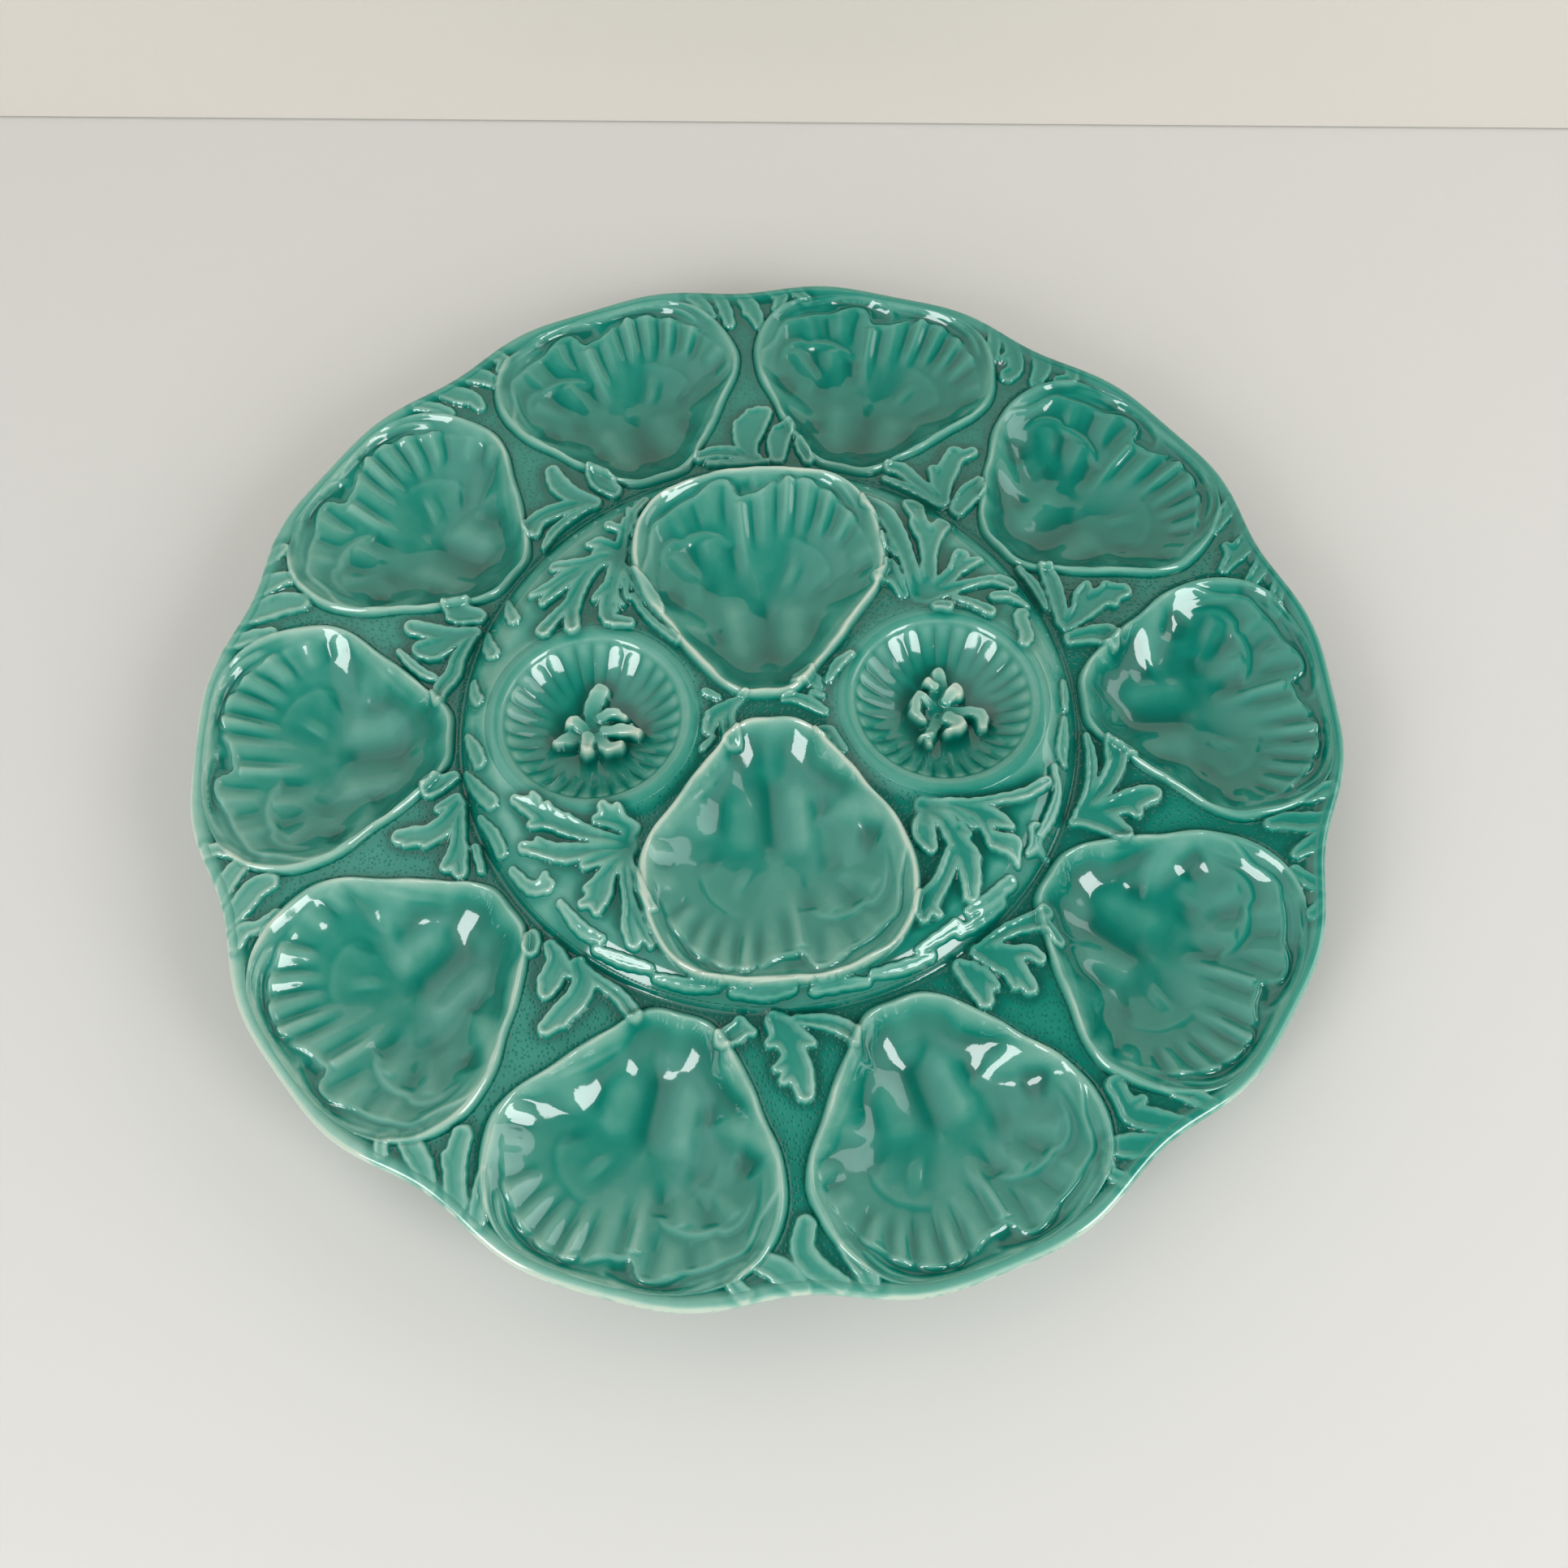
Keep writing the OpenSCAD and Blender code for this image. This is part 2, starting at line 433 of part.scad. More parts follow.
// Leaves of the knob in a sauce cup, in shares of the bowl's radius about its middle
knob_right_shares = [
    [[0, 0.02], [-0.1, 0.22], [0.02, 0.36], 0.22, 2], [[-0.02, 0], [-0.24, 0.02], [-0.3, -0.2], 0.17, 1],
    [[0.02, -0.04], [0.2, -0.1], [0.42, -0.38], 0.2, 2], [[0, -0.04], [-0.1, -0.3], [-0.24, -0.54], 0.16, 2],
    [[0, -0.02], [0.12, 0.1], [0.2, 0.12], 0.14, 1]];
knob_left_shares = [
    [[0.02, 0.06], [-0.02, 0.24], [0.14, 0.36], 0.22, 1], [[0, 0.1], [0.2, 0.08], [0.36, -0.1], 0.15, 1],
    [[0, 0], [0.2, -0.12], [0.5, -0.26], 0.17, 2], [[-0.02, 0], [-0.2, -0.1], [-0.42, -0.28], 0.26, 2],
    [[0, -0.04], [0.06, -0.3], [0.26, -0.38], 0.16, 2]];

// Leaves from a table of shares: unit_l scales them, and start puts them in place
module leaves(table, unit_l, start, out, rise) {
    for (s = table)
        leaf([for (k = [0:2]) [s[k].x * unit_l, start + out * s[k].y * unit_l]],
            s[3] * unit_l, s[4], rise);
}

module gap_frond(i) {
    color(glaze_light) difference() {
        rotate([0, 0, (i - 0.5) * well_step - 90])
            leaves(gap_frond_shares[i - 1], well_l, centre_r, 1, leaf_rise);
        oyster_space(i, leaf_gap);
        oyster_space(i + 1, leaf_gap);
    }
}

module rim_sprig(i) {
    notch_r = rim_at(well_step / 2);
    color(glaze_light) difference() {
        rotate([0, 0, (i - 0.5) * well_step - 90])
            leaves(rim_sprig_shares[i - 1], well_l, notch_r, -1, sprig_rise);
        oyster_space(i, leaf_gap);
        oyster_space(i + 1, leaf_gap);
    }
}

// Seaweed on the raised centre, kept clear of its wells and cups
module centre_leaves(table, rise) {
    color(glaze_light) difference() {
        leaves(table, centre_r, 0, 1, rise);
        for (turn = [0, 180]) centre_space(turn, leaf_gap);
        for (side = [-1, 1]) cup_space(side, leaf_gap);
    }
}

// Seaweed knob in the middle of a sauce cup, on a low round pad
module cup_knob(side, table) {
    floor_z = centre_h + ring_rise - cup_depth;
    pad_h_share = 0.4;
    pad_r_share = 0.3;
    bed_share = 0.7;
    pad_h = knob_h * pad_h_share;
    pad_r = bowl_r * pad_r_share;
    bed_h = pad_h * bed_share;
    climb_share = 0.36;
    climb = knob_h * climb_share;
    color(glaze_light) translate([side * cup_x, 0, floor_z + leaf_gap]) {
        cylinder(h = pad_h, r1 = pad_r, r2 = pad_r * bed_share, $fn = pad_steps);
        for (s = table)
            leaf([for (k = [0:2]) s[k] * bowl_r], s[3] * bowl_r, s[4], knob_h - bed_h - climb,
                bed_h, climb);
    }
}

rim_band();
raised_centre();
foot_ring();
oyster_well(1);  // oyster_well_01
oyster_well(2);  // oyster_well_02
oyster_well(3);  // oyster_well_03
oyster_well(4);  // oyster_well_04
oyster_well(5);  // oyster_well_05
oyster_well(6);  // oyster_well_06
oyster_well(7);  // oyster_well_07
oyster_well(8);  // oyster_well_08
oyster_well(9);  // oyster_well_09
oyster_well(10);  // oyster_well_10
centre_well(0);  // centre_well_back
centre_well(180);  // centre_well_front
sauce_cup(1);  // sauce_cup_right
sauce_cup(-1);  // sauce_cup_left
cup_knob(1, knob_right_shares);  // cup_knob_right
cup_knob(-1, knob_left_shares);  // cup_knob_left
gap_frond(1);  // gap_frond_01
gap_frond(2);  // gap_frond_02
gap_frond(3);  // gap_frond_03
gap_frond(4);  // gap_frond_04
gap_frond(5);  // gap_frond_05
gap_frond(6);  // gap_frond_06
gap_frond(7);  // gap_frond_07
gap_frond(8);  // gap_frond_08
gap_frond(9);  // gap_frond_09
gap_frond(10);  // gap_frond_10
rim_sprig(1);  // rim_sprig_01
rim_sprig(2);  // rim_sprig_02
rim_sprig(3);  // rim_sprig_03
rim_sprig(4);  // rim_sprig_04
rim_sprig(5);  // rim_sprig_05
rim_sprig(6);  // rim_sprig_06
rim_sprig(7);  // rim_sprig_07
rim_sprig(8);  // rim_sprig_08
rim_sprig(9);  // rim_sprig_09
rim_sprig(10);  // rim_sprig_10
centre_leaves(back_left_shares, leaf_rise);  // centre_spray_back_left
centre_leaves(back_right_shares, leaf_rise);  // centre_spray_back_right
centre_leaves(front_left_shares, leaf_rise);  // centre_spray_front_left
centre_leaves(front_right_shares, leaf_rise);  // centre_spray_front_right
centre_leaves(middle_left_shares, sprig_rise);  // middle_sprig_left
centre_leaves(middle_right_shares, sprig_rise);  // middle_sprig_right
centre_leaves(slope_left_shares, sprig_rise);  // slope_leaves_left
centre_leaves(slope_right_shares, sprig_rise);  // slope_leaves_right
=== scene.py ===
# %% [markdown]
# # An oyster plate of glazed earthenware
# The plate is pressed in one mould: ten oyster-shell wells round a raised middle, two more shells
# and two fluted sauce cups on the middle, and seaweed in relief wherever there is room. All of it
# carries one sea-green glaze. The lesson models each formed element as a closed mesh of its own.
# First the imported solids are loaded. They give the true sizes, and every piece is made to fit them.

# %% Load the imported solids
import math

import bpy
import numpy as np
from mathutils import Matrix


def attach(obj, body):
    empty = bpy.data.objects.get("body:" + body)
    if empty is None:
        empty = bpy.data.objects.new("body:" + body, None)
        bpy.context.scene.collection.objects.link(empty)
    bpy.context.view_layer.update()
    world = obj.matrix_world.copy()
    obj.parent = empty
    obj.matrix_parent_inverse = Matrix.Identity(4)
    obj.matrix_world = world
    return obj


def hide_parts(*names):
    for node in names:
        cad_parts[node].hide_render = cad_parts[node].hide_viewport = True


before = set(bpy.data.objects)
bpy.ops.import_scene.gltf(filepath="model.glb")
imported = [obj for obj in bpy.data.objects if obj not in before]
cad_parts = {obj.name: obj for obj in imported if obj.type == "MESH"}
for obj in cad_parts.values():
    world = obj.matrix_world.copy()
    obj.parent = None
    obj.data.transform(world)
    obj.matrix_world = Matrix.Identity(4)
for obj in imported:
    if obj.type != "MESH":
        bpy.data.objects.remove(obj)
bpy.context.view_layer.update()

# %% [markdown]
# Every size below is in millimetres, because that is how a potter thinks of a plate. MM turns it
# into Blender's metres at the last moment. The sizes are the ones of the solids.

# %% Sizes of the plate
MM = 0.001
WELLS = 10
BACK, FRONT = WELLS + 1, WELLS + 2
SHELLS = range(1, WELLS + 3)
STEP = 2 * math.pi / WELLS
RIM_H, GROUND_H, FLANGE_LOW = 30.0, 28.5, 23.0
CENTRE_H, CENTRE_LOW = 36.0, 30.0
CENTRE_R, HINGE_R, WELL_L = 98.0, 100.5, 80.0
LIP_R = HINGE_R + WELL_L
LOBE_R = LIP_R + 3.4
SCALLOP, PINCH = 2.9, 1.1
RIM_R = LOBE_R - SCALLOP + PINCH
SLOPE_W = CENTRE_R * 0.112
WELL_W = 2 * (HINGE_R + 0.57 * WELL_L) * math.tan(STEP / 2) - 4.6 / math.cos(STEP / 2)
CENTRE_WELL_W, CENTRE_WELL_L, CENTRE_HINGE = 2 * CENTRE_R * 0.44, 89.0, 3.0
RING_R = CENTRE_R * 0.347
BOWL_R = RING_R * 0.838
RING_CREST_R, RING_FOOT_R = 31.0, 38.5
CUP_X = CENTRE_R * (1 - 0.084) - RING_R
CREST, CENTRE_CREST, CUP_CREST = GROUND_H + 2.4, CENTRE_H + 4.0, CENTRE_H + 1.8
WELL_DEPTH, CENTRE_WELL_DEPTH, CUP_DEPTH, WALL = 15.5, 14.0, 13.0, 5.0
print(f"outer well {WELL_L} x {WELL_W:.1f} mm, plate {2 * LOBE_R:.1f} mm across")

# %% [markdown]
# ## Tools for relief
# Relief on pottery is a height over the plate's plan. So each shape below is a function of x and
# y that returns a height, and the same functions serve the neighbours, which therefore meet
# without a gap. These small helpers ease, bend and measure. A stroke is a soft ridge or furrow
# drawn along a few points, as with a modelling tool.

# %% Easing, curves and strokes
def ease(low, high, x):
    t = np.clip((x - low) / (high - low), 0, 1)
    return t * t * (3 - 2 * t)


def hump(x, width):
    return np.exp(-(x / width) ** 2)


def through(points, closed=False, parts=6):
    """Smooth curve through given points."""
    p = np.array(points, float)
    before = np.roll(p, 1, 0) if closed else np.vstack([2 * p[0] - p[1], p[:-1]])
    after = np.roll(p, -1, 0) if closed else np.vstack([p[1:], 2 * p[-1] - p[-2]])
    far = np.roll(p, -2, 0) if closed else np.vstack([after[1:], 2 * p[-1] - p[-2]])
    spans = len(p) if closed else len(p) - 1
    t = (np.arange(parts) / parts)[:, None]
    bends = [0.5 * (2 * p[k] + (after[k] - before[k]) * t
                    + (2 * before[k] - 5 * p[k] + 4 * after[k] - far[k]) * t ** 2
                    + (3 * p[k] - before[k] - 3 * after[k] + far[k]) * t ** 3) for k in range(spans)]
    return np.vstack(bends if closed else bends + [p[-1:]])


def to_line(x, y, line):
    """Distance to a polyline, share of the way along it, and side (1 left, -1 right)."""
    best, along, side = np.full(x.shape, 1e9), np.zeros(x.shape), np.ones(x.shape)
    spans = len(line) - 1
    for k in range(spans):
        (px, py), (qx, qy) = line[k], line[k + 1]
        dx, dy = qx - px, qy - py
        t = np.clip(((x - px) * dx + (y - py) * dy) / (dx * dx + dy * dy), 0, 1)
        ex, ey = x - px - t * dx, y - py - t * dy
        gap = np.hypot(ex, ey)
        near = gap < best
        best = np.where(near, gap, best)
        along = np.where(near, (k + t) / spans, along)
        side = np.where(near, np.where(dx * ey - dy * ex >= 0, 1.0, -1.0), side)
    return best, along, side


def strokes(x, y, table):
    """Sum of soft ridges: [height, half width, fade at the start, fade at the end, point, point, ...]."""
    total = np.zeros(x.shape)
    for height, width, fade_in, fade_out, *points in table:
        gap, along, _ = to_line(x, y, through(points, parts=4))
        total += height * hump(gap, width) * ease(-0.01, fade_in, along) * ease(-0.01, fade_out, 1 - along)
    return total


class Field:
    """Heights kept on a fine square raster and read back anywhere between."""

    def __init__(self, low, high, pitch, height):
        self.low, self.pitch = low, pitch
        self.x = np.arange(low[0], high[0] + pitch, pitch)
        self.y = np.arange(low[1], high[1] + pitch, pitch)
        self.grid = height(*np.meshgrid(self.x, self.y, indexing="ij"))

    def at(self, x, y):
        i = np.clip((x - self.low[0]) / self.pitch, 0, len(self.x) - 1.001)
        j = np.clip((y - self.low[1]) / self.pitch, 0, len(self.y) - 1.001)
        a, b = i.astype(int), j.astype(int)
        s, t = i - a, j - b
        g = self.grid
        return ((g[a, b] * (1 - s) + g[a + 1, b] * s) * (1 - t)
                + (g[a, b + 1] * (1 - s) + g[a + 1, b + 1] * s) * t)


print("helpers ready")

# %% [markdown]
# ## The shell
# All twelve wells come from one carved oyster shell. Its outline is star-shaped about a middle,
# so a place in it is a share from the middle (0) to the outline (1) and a lean from the lip.
# The real shell has a pale bead round its edge, a groove inside the lip, the frilled edges of
# growth layers, and flutes that fan out from the hinge. They are all drawn below, in
# millimetres: across from the shell's axis, and out from the hinge. The two wells on the middle
# keep their bead all round. The ten outer ones have an open lip: there the bead dies away, more
# frills show, and the shell runs out into the rim of the plate.

# %% Outline of a shell and places in it
SHELL_OUTLINE = [
    (0,0), (.09,.005), (.155,.055), (.205,.12), (.28,.2), (.37,.325), (.445,.42), (.495,.525), (.5,.62),
    (.482,.72), (.45,.81), (.4,.885), (.33,.945), (.235,.982), (.115,.997), (0,1), (-.11,.995), (-.22,.975),
    (-.325,.932), (-.405,.875), (-.462,.8), (-.492,.705), (-.498,.62), (-.482,.525), (-.43,.405), (-.36,.31),
    (-.295,.205), (-.22,.11), (-.155,.045), (-.09,.005)]
MIDDLE_Y = 0.48 * WELL_L


def star(points, closed=True):
    """Radius of a curve round the shell's middle as a table over the lean from the lip."""
    curve = through(points, closed)
    lean = np.arctan2(-curve[:, 0], curve[:, 1] - MIDDLE_Y)
    order = np.argsort(lean)
    return lean[order], np.hypot(curve[:, 0], curve[:, 1] - MIDDLE_Y)[order]


shell_edge = star([(a * WELL_W, b * WELL_L) for a, b in SHELL_OUTLINE])


def shell_place(x, y):
    """Distance from the shell's middle, lean from the lip (left is positive), and outline radius."""
    lean = np.arctan2(-x, y - MIDDLE_Y)
    return np.hypot(x, y - MIDDLE_Y), lean, np.interp(lean, *shell_edge, period=2 * math.pi)


print("outline radii:", round(shell_edge[1].min(), 1), "to", round(shell_edge[1].max(), 1))

# %% Growth layers, flutes and folds of the shell
LAYER_EDGE = [
    (-41,44), (-38.5,52), (-37.6,58), (-36.2,62), (-32.6,64.8), (-29,67.6), (-25.4,69.6), (-21,71.6), (-17,74.6),
    (-13,76.4), (-9.6,76.4), (-8,74.8), (-6.8,72.6), (-5.2,71.4), (-3,71.9), (0.6,72.4), (3.6,73.6), (6.6,75.2),
    (8.4,74.6), (10,75.4), (12.6,76.4), (15,75.2), (17.4,75.6), (20.6,74.6), (23,72.4), (26.4,71.2), (29,68.4),
    (31.4,65.4), (34.4,62), (36.6,57), (39,51), (41,45)]
INNER_EDGE = [
    (-34.6,38), (-34.6,46), (-34.4,50.5), (-32.8,54.8), (-29.6,57.6), (-26.6,57.8), (-23,59.8), (-18,60.8),
    (-13,60), (-9.6,58), (-6,54)]
INNER_EDGE_RIGHT = [
    (9,59), (14,58.4), (18.4,56), (21.4,53.6), (23.6,50.6), (25,46.4), (24.6,42), (23.4,38.6)]
FLUTES = [
    [1.2, 1.7, .03, .7, (-5.4,69.6), (-4.9,62), (-4,55), (-2.6,47)],
    [-.6, 2.0, .1, .6, (-1.4,71.4), (-1.2,62), (-.6,54)], [.5, 1.9, .06, .7, (3.4,73.6), (3.6,64), (3.6,52)],
    [-.9, 1.7, .06, .6, (8.3,76), (7.6,68), (6.6,58)], [1.0, 1.5, .04, .6, (12.3,76.4), (11.4,68), (9.6,56)],
    [-.8, 1.7, .06, .6, (15.4,75.4), (14.4,68), (12.4,58)], [.7, 1.9, .05, .6, (20,75), (18.2,67), (15,56)],
    [-.75, 1.7, .06, .6, (23.4,72.6), (21,65), (17,56)], [.75, 1.8, .05, .6, (27,70.6), (24,63), (19.4,55)],
    [-.7, 1.6, .06, .6, (29.8,67.6), (26.4,60.6), (21.6,54)],
    [.75, 1.7, .05, .5, (33.4,63.4), (29.6,58), (26,54)], [-.6, 1.5, .08, .5, (36,59.6), (31.4,55.4), (27.4,52)],
    [.6, 2.2, .1, .5, (39.4,50), (35,48.6), (31,47)], [-.5, 1.1, .1, .5, (39.6,44), (35.6,43.4), (31.6,42.4)],
    [.45, 1.5, .1, .5, (39.8,40.6), (36,39.8), (31.6,38.6)],
    [-.45, 1.0, .1, .5, (39.4,36.4), (35.6,36), (31.4,35.2)], [.4, 1.3, .1, .5, (38,33), (34.6,32.9), (31,32.4)],
    [-.35, .9, .1, .5, (37,29.6), (34,29.5), (30.6,29)], [.5, 1.9, .1, .6, (-29.6,66.4), (-26.6,61), (-23.6,57)],
    [-.6, 1.8, .1, .5, (-23,70), (-21,65), (-19,61)], [.5, 2.1, .1, .5, (-17,74), (-16,68), (-14.6,62)],
    [-.7, 2.1, .1, .5, (-11,75.6), (-11.4,68), (-10.6,60)], [.7, 2.4, .1, .7, (-17.4,59), (-15.4,54), (-12,47)],
    [-.8, 2.8, .15, .6, (-24.6,57.4), (-22,52), (-18,46)], [.6, 2.6, .15, .6, (-31,53), (-27,49.6), (-21,45)],
    [-.8, 3.0, .15, .6, (-9.4,58), (-8.6,52), (-7,45)]]
FOLDS = [
    [-.96, 4.4, .3, .4, (-34,39.4), (-29.6,37), (-25,36.4)],
    [1.04, 3.8, .1, .5, (-39,32), (-31,31.4), (-22,28), (-15,23)],
    [-.72, 3.4, .15, .5, (-32,24.6), (-25,22), (-16,18), (-10,14.6)],
    [.48, 3.6, .1, .5, (-30,19), (-23,14), (-17,10), (-13,6)],
    [.96, 3.8, .25, .4, (-10.5,41), (-9.6,31), (-8,21), (-7,14)], [-.56, 3.0, .3, .5, (-17,29), (-14,21)],
    [-1.04, 4.8, .25, .3, (1,42), (1.6,31), (1.6,21), (1.4,13)], [.8, 4.4, .3, .4, (11,40), (11,28), (10,16)],
    [-.48, 3.0, .3, .5, (17.4,35), (18,25), (15.4,14)], [.4, 3.6, .2, .5, (24,36), (25.4,26), (20.6,16)],
    [-.32, 4.6, .3, .5, (20,43), (24,38)], [.4, 4.6, .3, .5, (10,49), (15,46)],
    [-.48, 4.6, .3, .5, (-22,43), (-12,42)], [.4, 2.4, .2, .3, (-40.4,44), (-39.6,54), (-37.4,61)],
    [-.72, 2.2, .2, .3, (-24,74.6), (-16,77.8), (-9,78.4), (-3,77)],
    [-.72, 2.2, .3, .3, (-7.4,73.6), (-3.6,75), (1,76)]]
LIP_FRILLS = [
    [.7, .9, .2, .2, (-37,66.4), (-30,71.4), (-22,76.6), (-14,79), (-5,78.6), (1,78.4), (8,78.8), (17,78)],
    [.8, .9, .15, .2, (12,78.4), (22,77), (29.6,73), (34,67.4), (36.4,62)],
    [-.6, 1.1, .2, .3, (6,77), (15,77.6), (24,74.6), (30.4,70), (34,64.6)]]
OPEN_FRILLS = [
    [.45, .7, .2, .3, (-35.4,63.6), (-31,68.6), (-25,72.4), (-18,76)],
    [-.5, .8, .2, .3, (-37,68.6), (-31,73), (-24,76.6)],
    [.5, .8, .2, .2, (-9,77.4), (-5,78.8), (-1,77.4), (3,76.2)],
    [.5, .8, .2, .3, (-24,74.6), (-20,76.8), (-17,79.4)],
    [.5, .8, .15, .2, (24,78.4), (31,75), (37,69.4), (40,63)],
    [-.5, .8, .2, .2, (20,79), (28,75.6), (33.6,70.6), (37.6,63)]]
HINGE_LINES = [
    [.2, .7, .2, .3, (36,28), (29,21), (21,13), (15,7)],
    [.2, .7, .2, .3, (33.6,28.4), (27,22.6), (20,15.6), (14,9.6)],
    [.2, .7, .2, .3, (31,29.6), (25,24.4), (18.4,18), (13.4,13)]]
LEFT_LINES = [[.35, .9, .25, .3, (-36.4,61), (-37,53), (-36.6,45), (-35,37)]]
GROOVE, GROOVE_AT_LIP, GROOVE_W = 0.25, 0.5, 1.6
LAYER_DROP, LAYER_RISE, LAYER_FADE, LAYER_EDGE_H = 0.9, 0.55, 9, 0.22
INNER_RISES = ((INNER_EDGE, 0.6), (INNER_EDGE_RIGHT, 0.26))


def frill(lean, size):
    """Small unevenness along a hand-pressed edge."""
    return size * (np.sin(7 * lean + 1) + 0.7 * np.sin(13 * lean + 4) + 0.5 * np.sin(23 * lean + 2)) / 2.2


def shell_power(lean):
    """How steeply a well rises: more at the hinge than at the lip."""
    return 2.7 - 1.1 * np.cos(lean)


def at_lip(lean):
    """1 along the lip and 0 elsewhere."""
    return ease(0.60, 0.86, np.cos(lean))


def crest_radius(lean, edge, open_lip):
    """The bead runs inside the outline along the sides and the hinge. An open lip runs out to it."""
    lip = ease(0.2, 0.75, np.cos(lean))
    opened = open_lip * at_lip(lean)
    return edge * (0.944 + 0.034 * lip + 0.022 * opened) + frill(lean, 0.4) * (1 - opened)


def shell_relief(x, y, open_lip):
    """Height inside the bead, 0 on the bead itself."""
    out, lean, edge = shell_place(x, y)
    crest = crest_radius(lean, edge, open_lip)
    beyond = out - crest
    t = np.clip(out / crest, 0, 1)
    z = -WELL_DEPTH * (1 - t ** shell_power(lean))
    groove = GROOVE + GROOVE_AT_LIP * ease(0.2, 0.8, np.cos(lean)) * (1 - 0.9 * open_lip)
    z -= groove * (1 - hump(np.minimum(beyond, 0), GROOVE_W)) * np.exp(np.minimum(beyond, 0) / LAYER_FADE)
    layer = np.interp(lean, *star(LAYER_EDGE, closed=False)) - out
    ends = np.where(lean < 0, ease(0.3, 0.6, np.cos(lean)), ease(-0.2, 0.2, np.cos(lean)))
    lip = ends * ease(-0.2, -1.3, beyond)
    step = ease(-0.8, 0.7, layer)
    z += lip * ((0.45 * open_lip - LAYER_DROP) * (1 - step)
                + LAYER_RISE * step * np.exp(-np.maximum(layer, 0) / LAYER_FADE)
                + LAYER_EDGE_H * hump(layer - 0.8, 0.9))
    for inner, height in INNER_RISES:
        gap, along, side = to_line(x, y, through(inner))
        within = -gap * side
        fade = height * ease(0, 0.2, along) * ease(0, 0.3, 1 - along)
        z += fade * (ease(-0.9, 0.8, within) * np.exp(-np.maximum(within, 0) / LAYER_FADE)
                     + 0.2 * hump(within - 0.8, 0.9) - 0.27 * hump(within + 1.5, 1.4))
    inside = ease(0.4, -1.0, beyond)
    lines = strokes(x, y, FLUTES) * ease(-0.8, 0.5, layer + 3 * (1 - ends))
    for table in (FOLDS, LIP_FRILLS + OPEN_FRILLS * open_lip, HINGE_LINES, LEFT_LINES):
        lines += strokes(x, y, table)
    z += inside * lines
    uneven = frill(lean + 1, 0.22) * ease(-4, 0, beyond) * (1 - open_lip * at_lip(lean))
    return np.where(beyond < 0, z, 0) + uneven


def shell_fall(x, y, open_lip):
    """0 on the bead and 1 on the outline."""
    out, lean, edge = shell_place(x, y)
    crest = crest_radius(lean, edge, open_lip)
    return np.clip((out - crest) / np.maximum(edge - crest, 0.3), 0, 1.6)


MOULD_EDGE, MOULD_PITCH = 3, 0.25


def mould_field(height, open_lip):
    return Field((-WELL_W / 2 - MOULD_EDGE, -MOULD_EDGE), (WELL_W / 2 + MOULD_EDGE, WELL_L + MOULD_EDGE),
                 MOULD_PITCH, lambda x, y: height(x, y, open_lip))


mould = [mould_field(shell_relief, 0), mould_field(shell_relief, 1)]
mould_fall = [mould_field(shell_fall, 0), mould_field(shell_fall, 1)]
print("shell relief from", round(mould[0].grid.min(), 1), "to", round(mould[0].grid.max(), 1), "mm")

# %% [markdown]
# ## The ground that carries everything
# The flange is flat and dotted, with a raised lip along its scalloped edge. The middle of the
# plate is a low flat mound with a soft slope, which swells up to the ring of each cup. At the foot
# of the slope the glaze has pooled in a fine groove.

# %% Flange, mound and rim
RIM_ROUND = 2.1
SLOPE_DROP, FOOT_GROOVE = 6.97, 0.4
LIP_OUT, LIP_IN = 2.6, 6.2
WAVE_H = 1.18


def rim_at(angle):
    """Radius of the scalloped rim."""
    return RIM_R + SCALLOP * np.cos(WELLS * angle) - PINCH * np.cos(2 * WELLS * angle)


def from_cup(x, y):
    """Distance from the middle of the nearer sauce cup."""
    return np.hypot(np.abs(x) - CUP_X, y)


def rim_roll(x, y):
    """How far the rounded rim has dropped from its top, or risen from its underside."""
    inward = np.clip(rim_at(np.arctan2(y, x)) - np.hypot(x, y), 0, RIM_ROUND)
    return RIM_ROUND - np.sqrt(np.maximum(RIM_ROUND ** 2 - (RIM_ROUND - inward) ** 2, 0))


def ground(x, y):
    r, angle = np.hypot(x, y), np.arctan2(y, x)
    t = np.clip((r - (CENTRE_R - SLOPE_W)) / SLOPE_W, 0, 1)
    mound = CENTRE_H - SLOPE_DROP * t ** 1.6
    mound += (CUP_CREST - CENTRE_H) * ease(RING_FOOT_R, RING_CREST_R, from_cup(x, y))
    inward = rim_at(angle) - r
    flange = GROUND_H + (RIM_H - GROUND_H) * ease(LIP_IN, LIP_OUT, inward)
    flange -= WAVE_H * np.cos(WELLS * angle) * ease(150, 180, r)
    flange -= FOOT_GROOVE * hump(r - CENTRE_R - 0.8, 0.7)
    foot = ease(CENTRE_R - 0.2, CENTRE_R + 0.9, r)
    return mound * (1 - foot) + flange * foot


def band_under(x, y):
    r = np.hypot(x, y)
    return np.interp(r, [150.1, 170.9, LOBE_R], [FLANGE_LOW, 24.4, 25.6])


print("ground at the foot of the mound", round(float(ground(np.array([99.0]), np.array([0.0]))[0]), 2), "mm")

# %% [markdown]
# ## Sauce cups
# A broad smooth ring surrounds a bowl of thirty ribs. Each rib is low and rounded, ends in a half
# circle under the ring, and thins out towards the knob in the middle. The glaze lies thicker on
# the back wall, where the ribs are lower still and the windows are mirrored almost whole.

# %% Height of a sauce cup
RIBS = 30
RING_DIP, RING_IN_W, BOWL_POWER = 1.1, 2.7, 2.6
RIB_H, RIB_LOSS, RIB_BED = 0.5, 0.26, 0.4


def off_rib(angle):
    """0 on the middle of a rib and 1 between two ribs."""
    return np.abs((angle * RIBS / (2 * math.pi) + 0.5) % 1 - 0.5) * 2


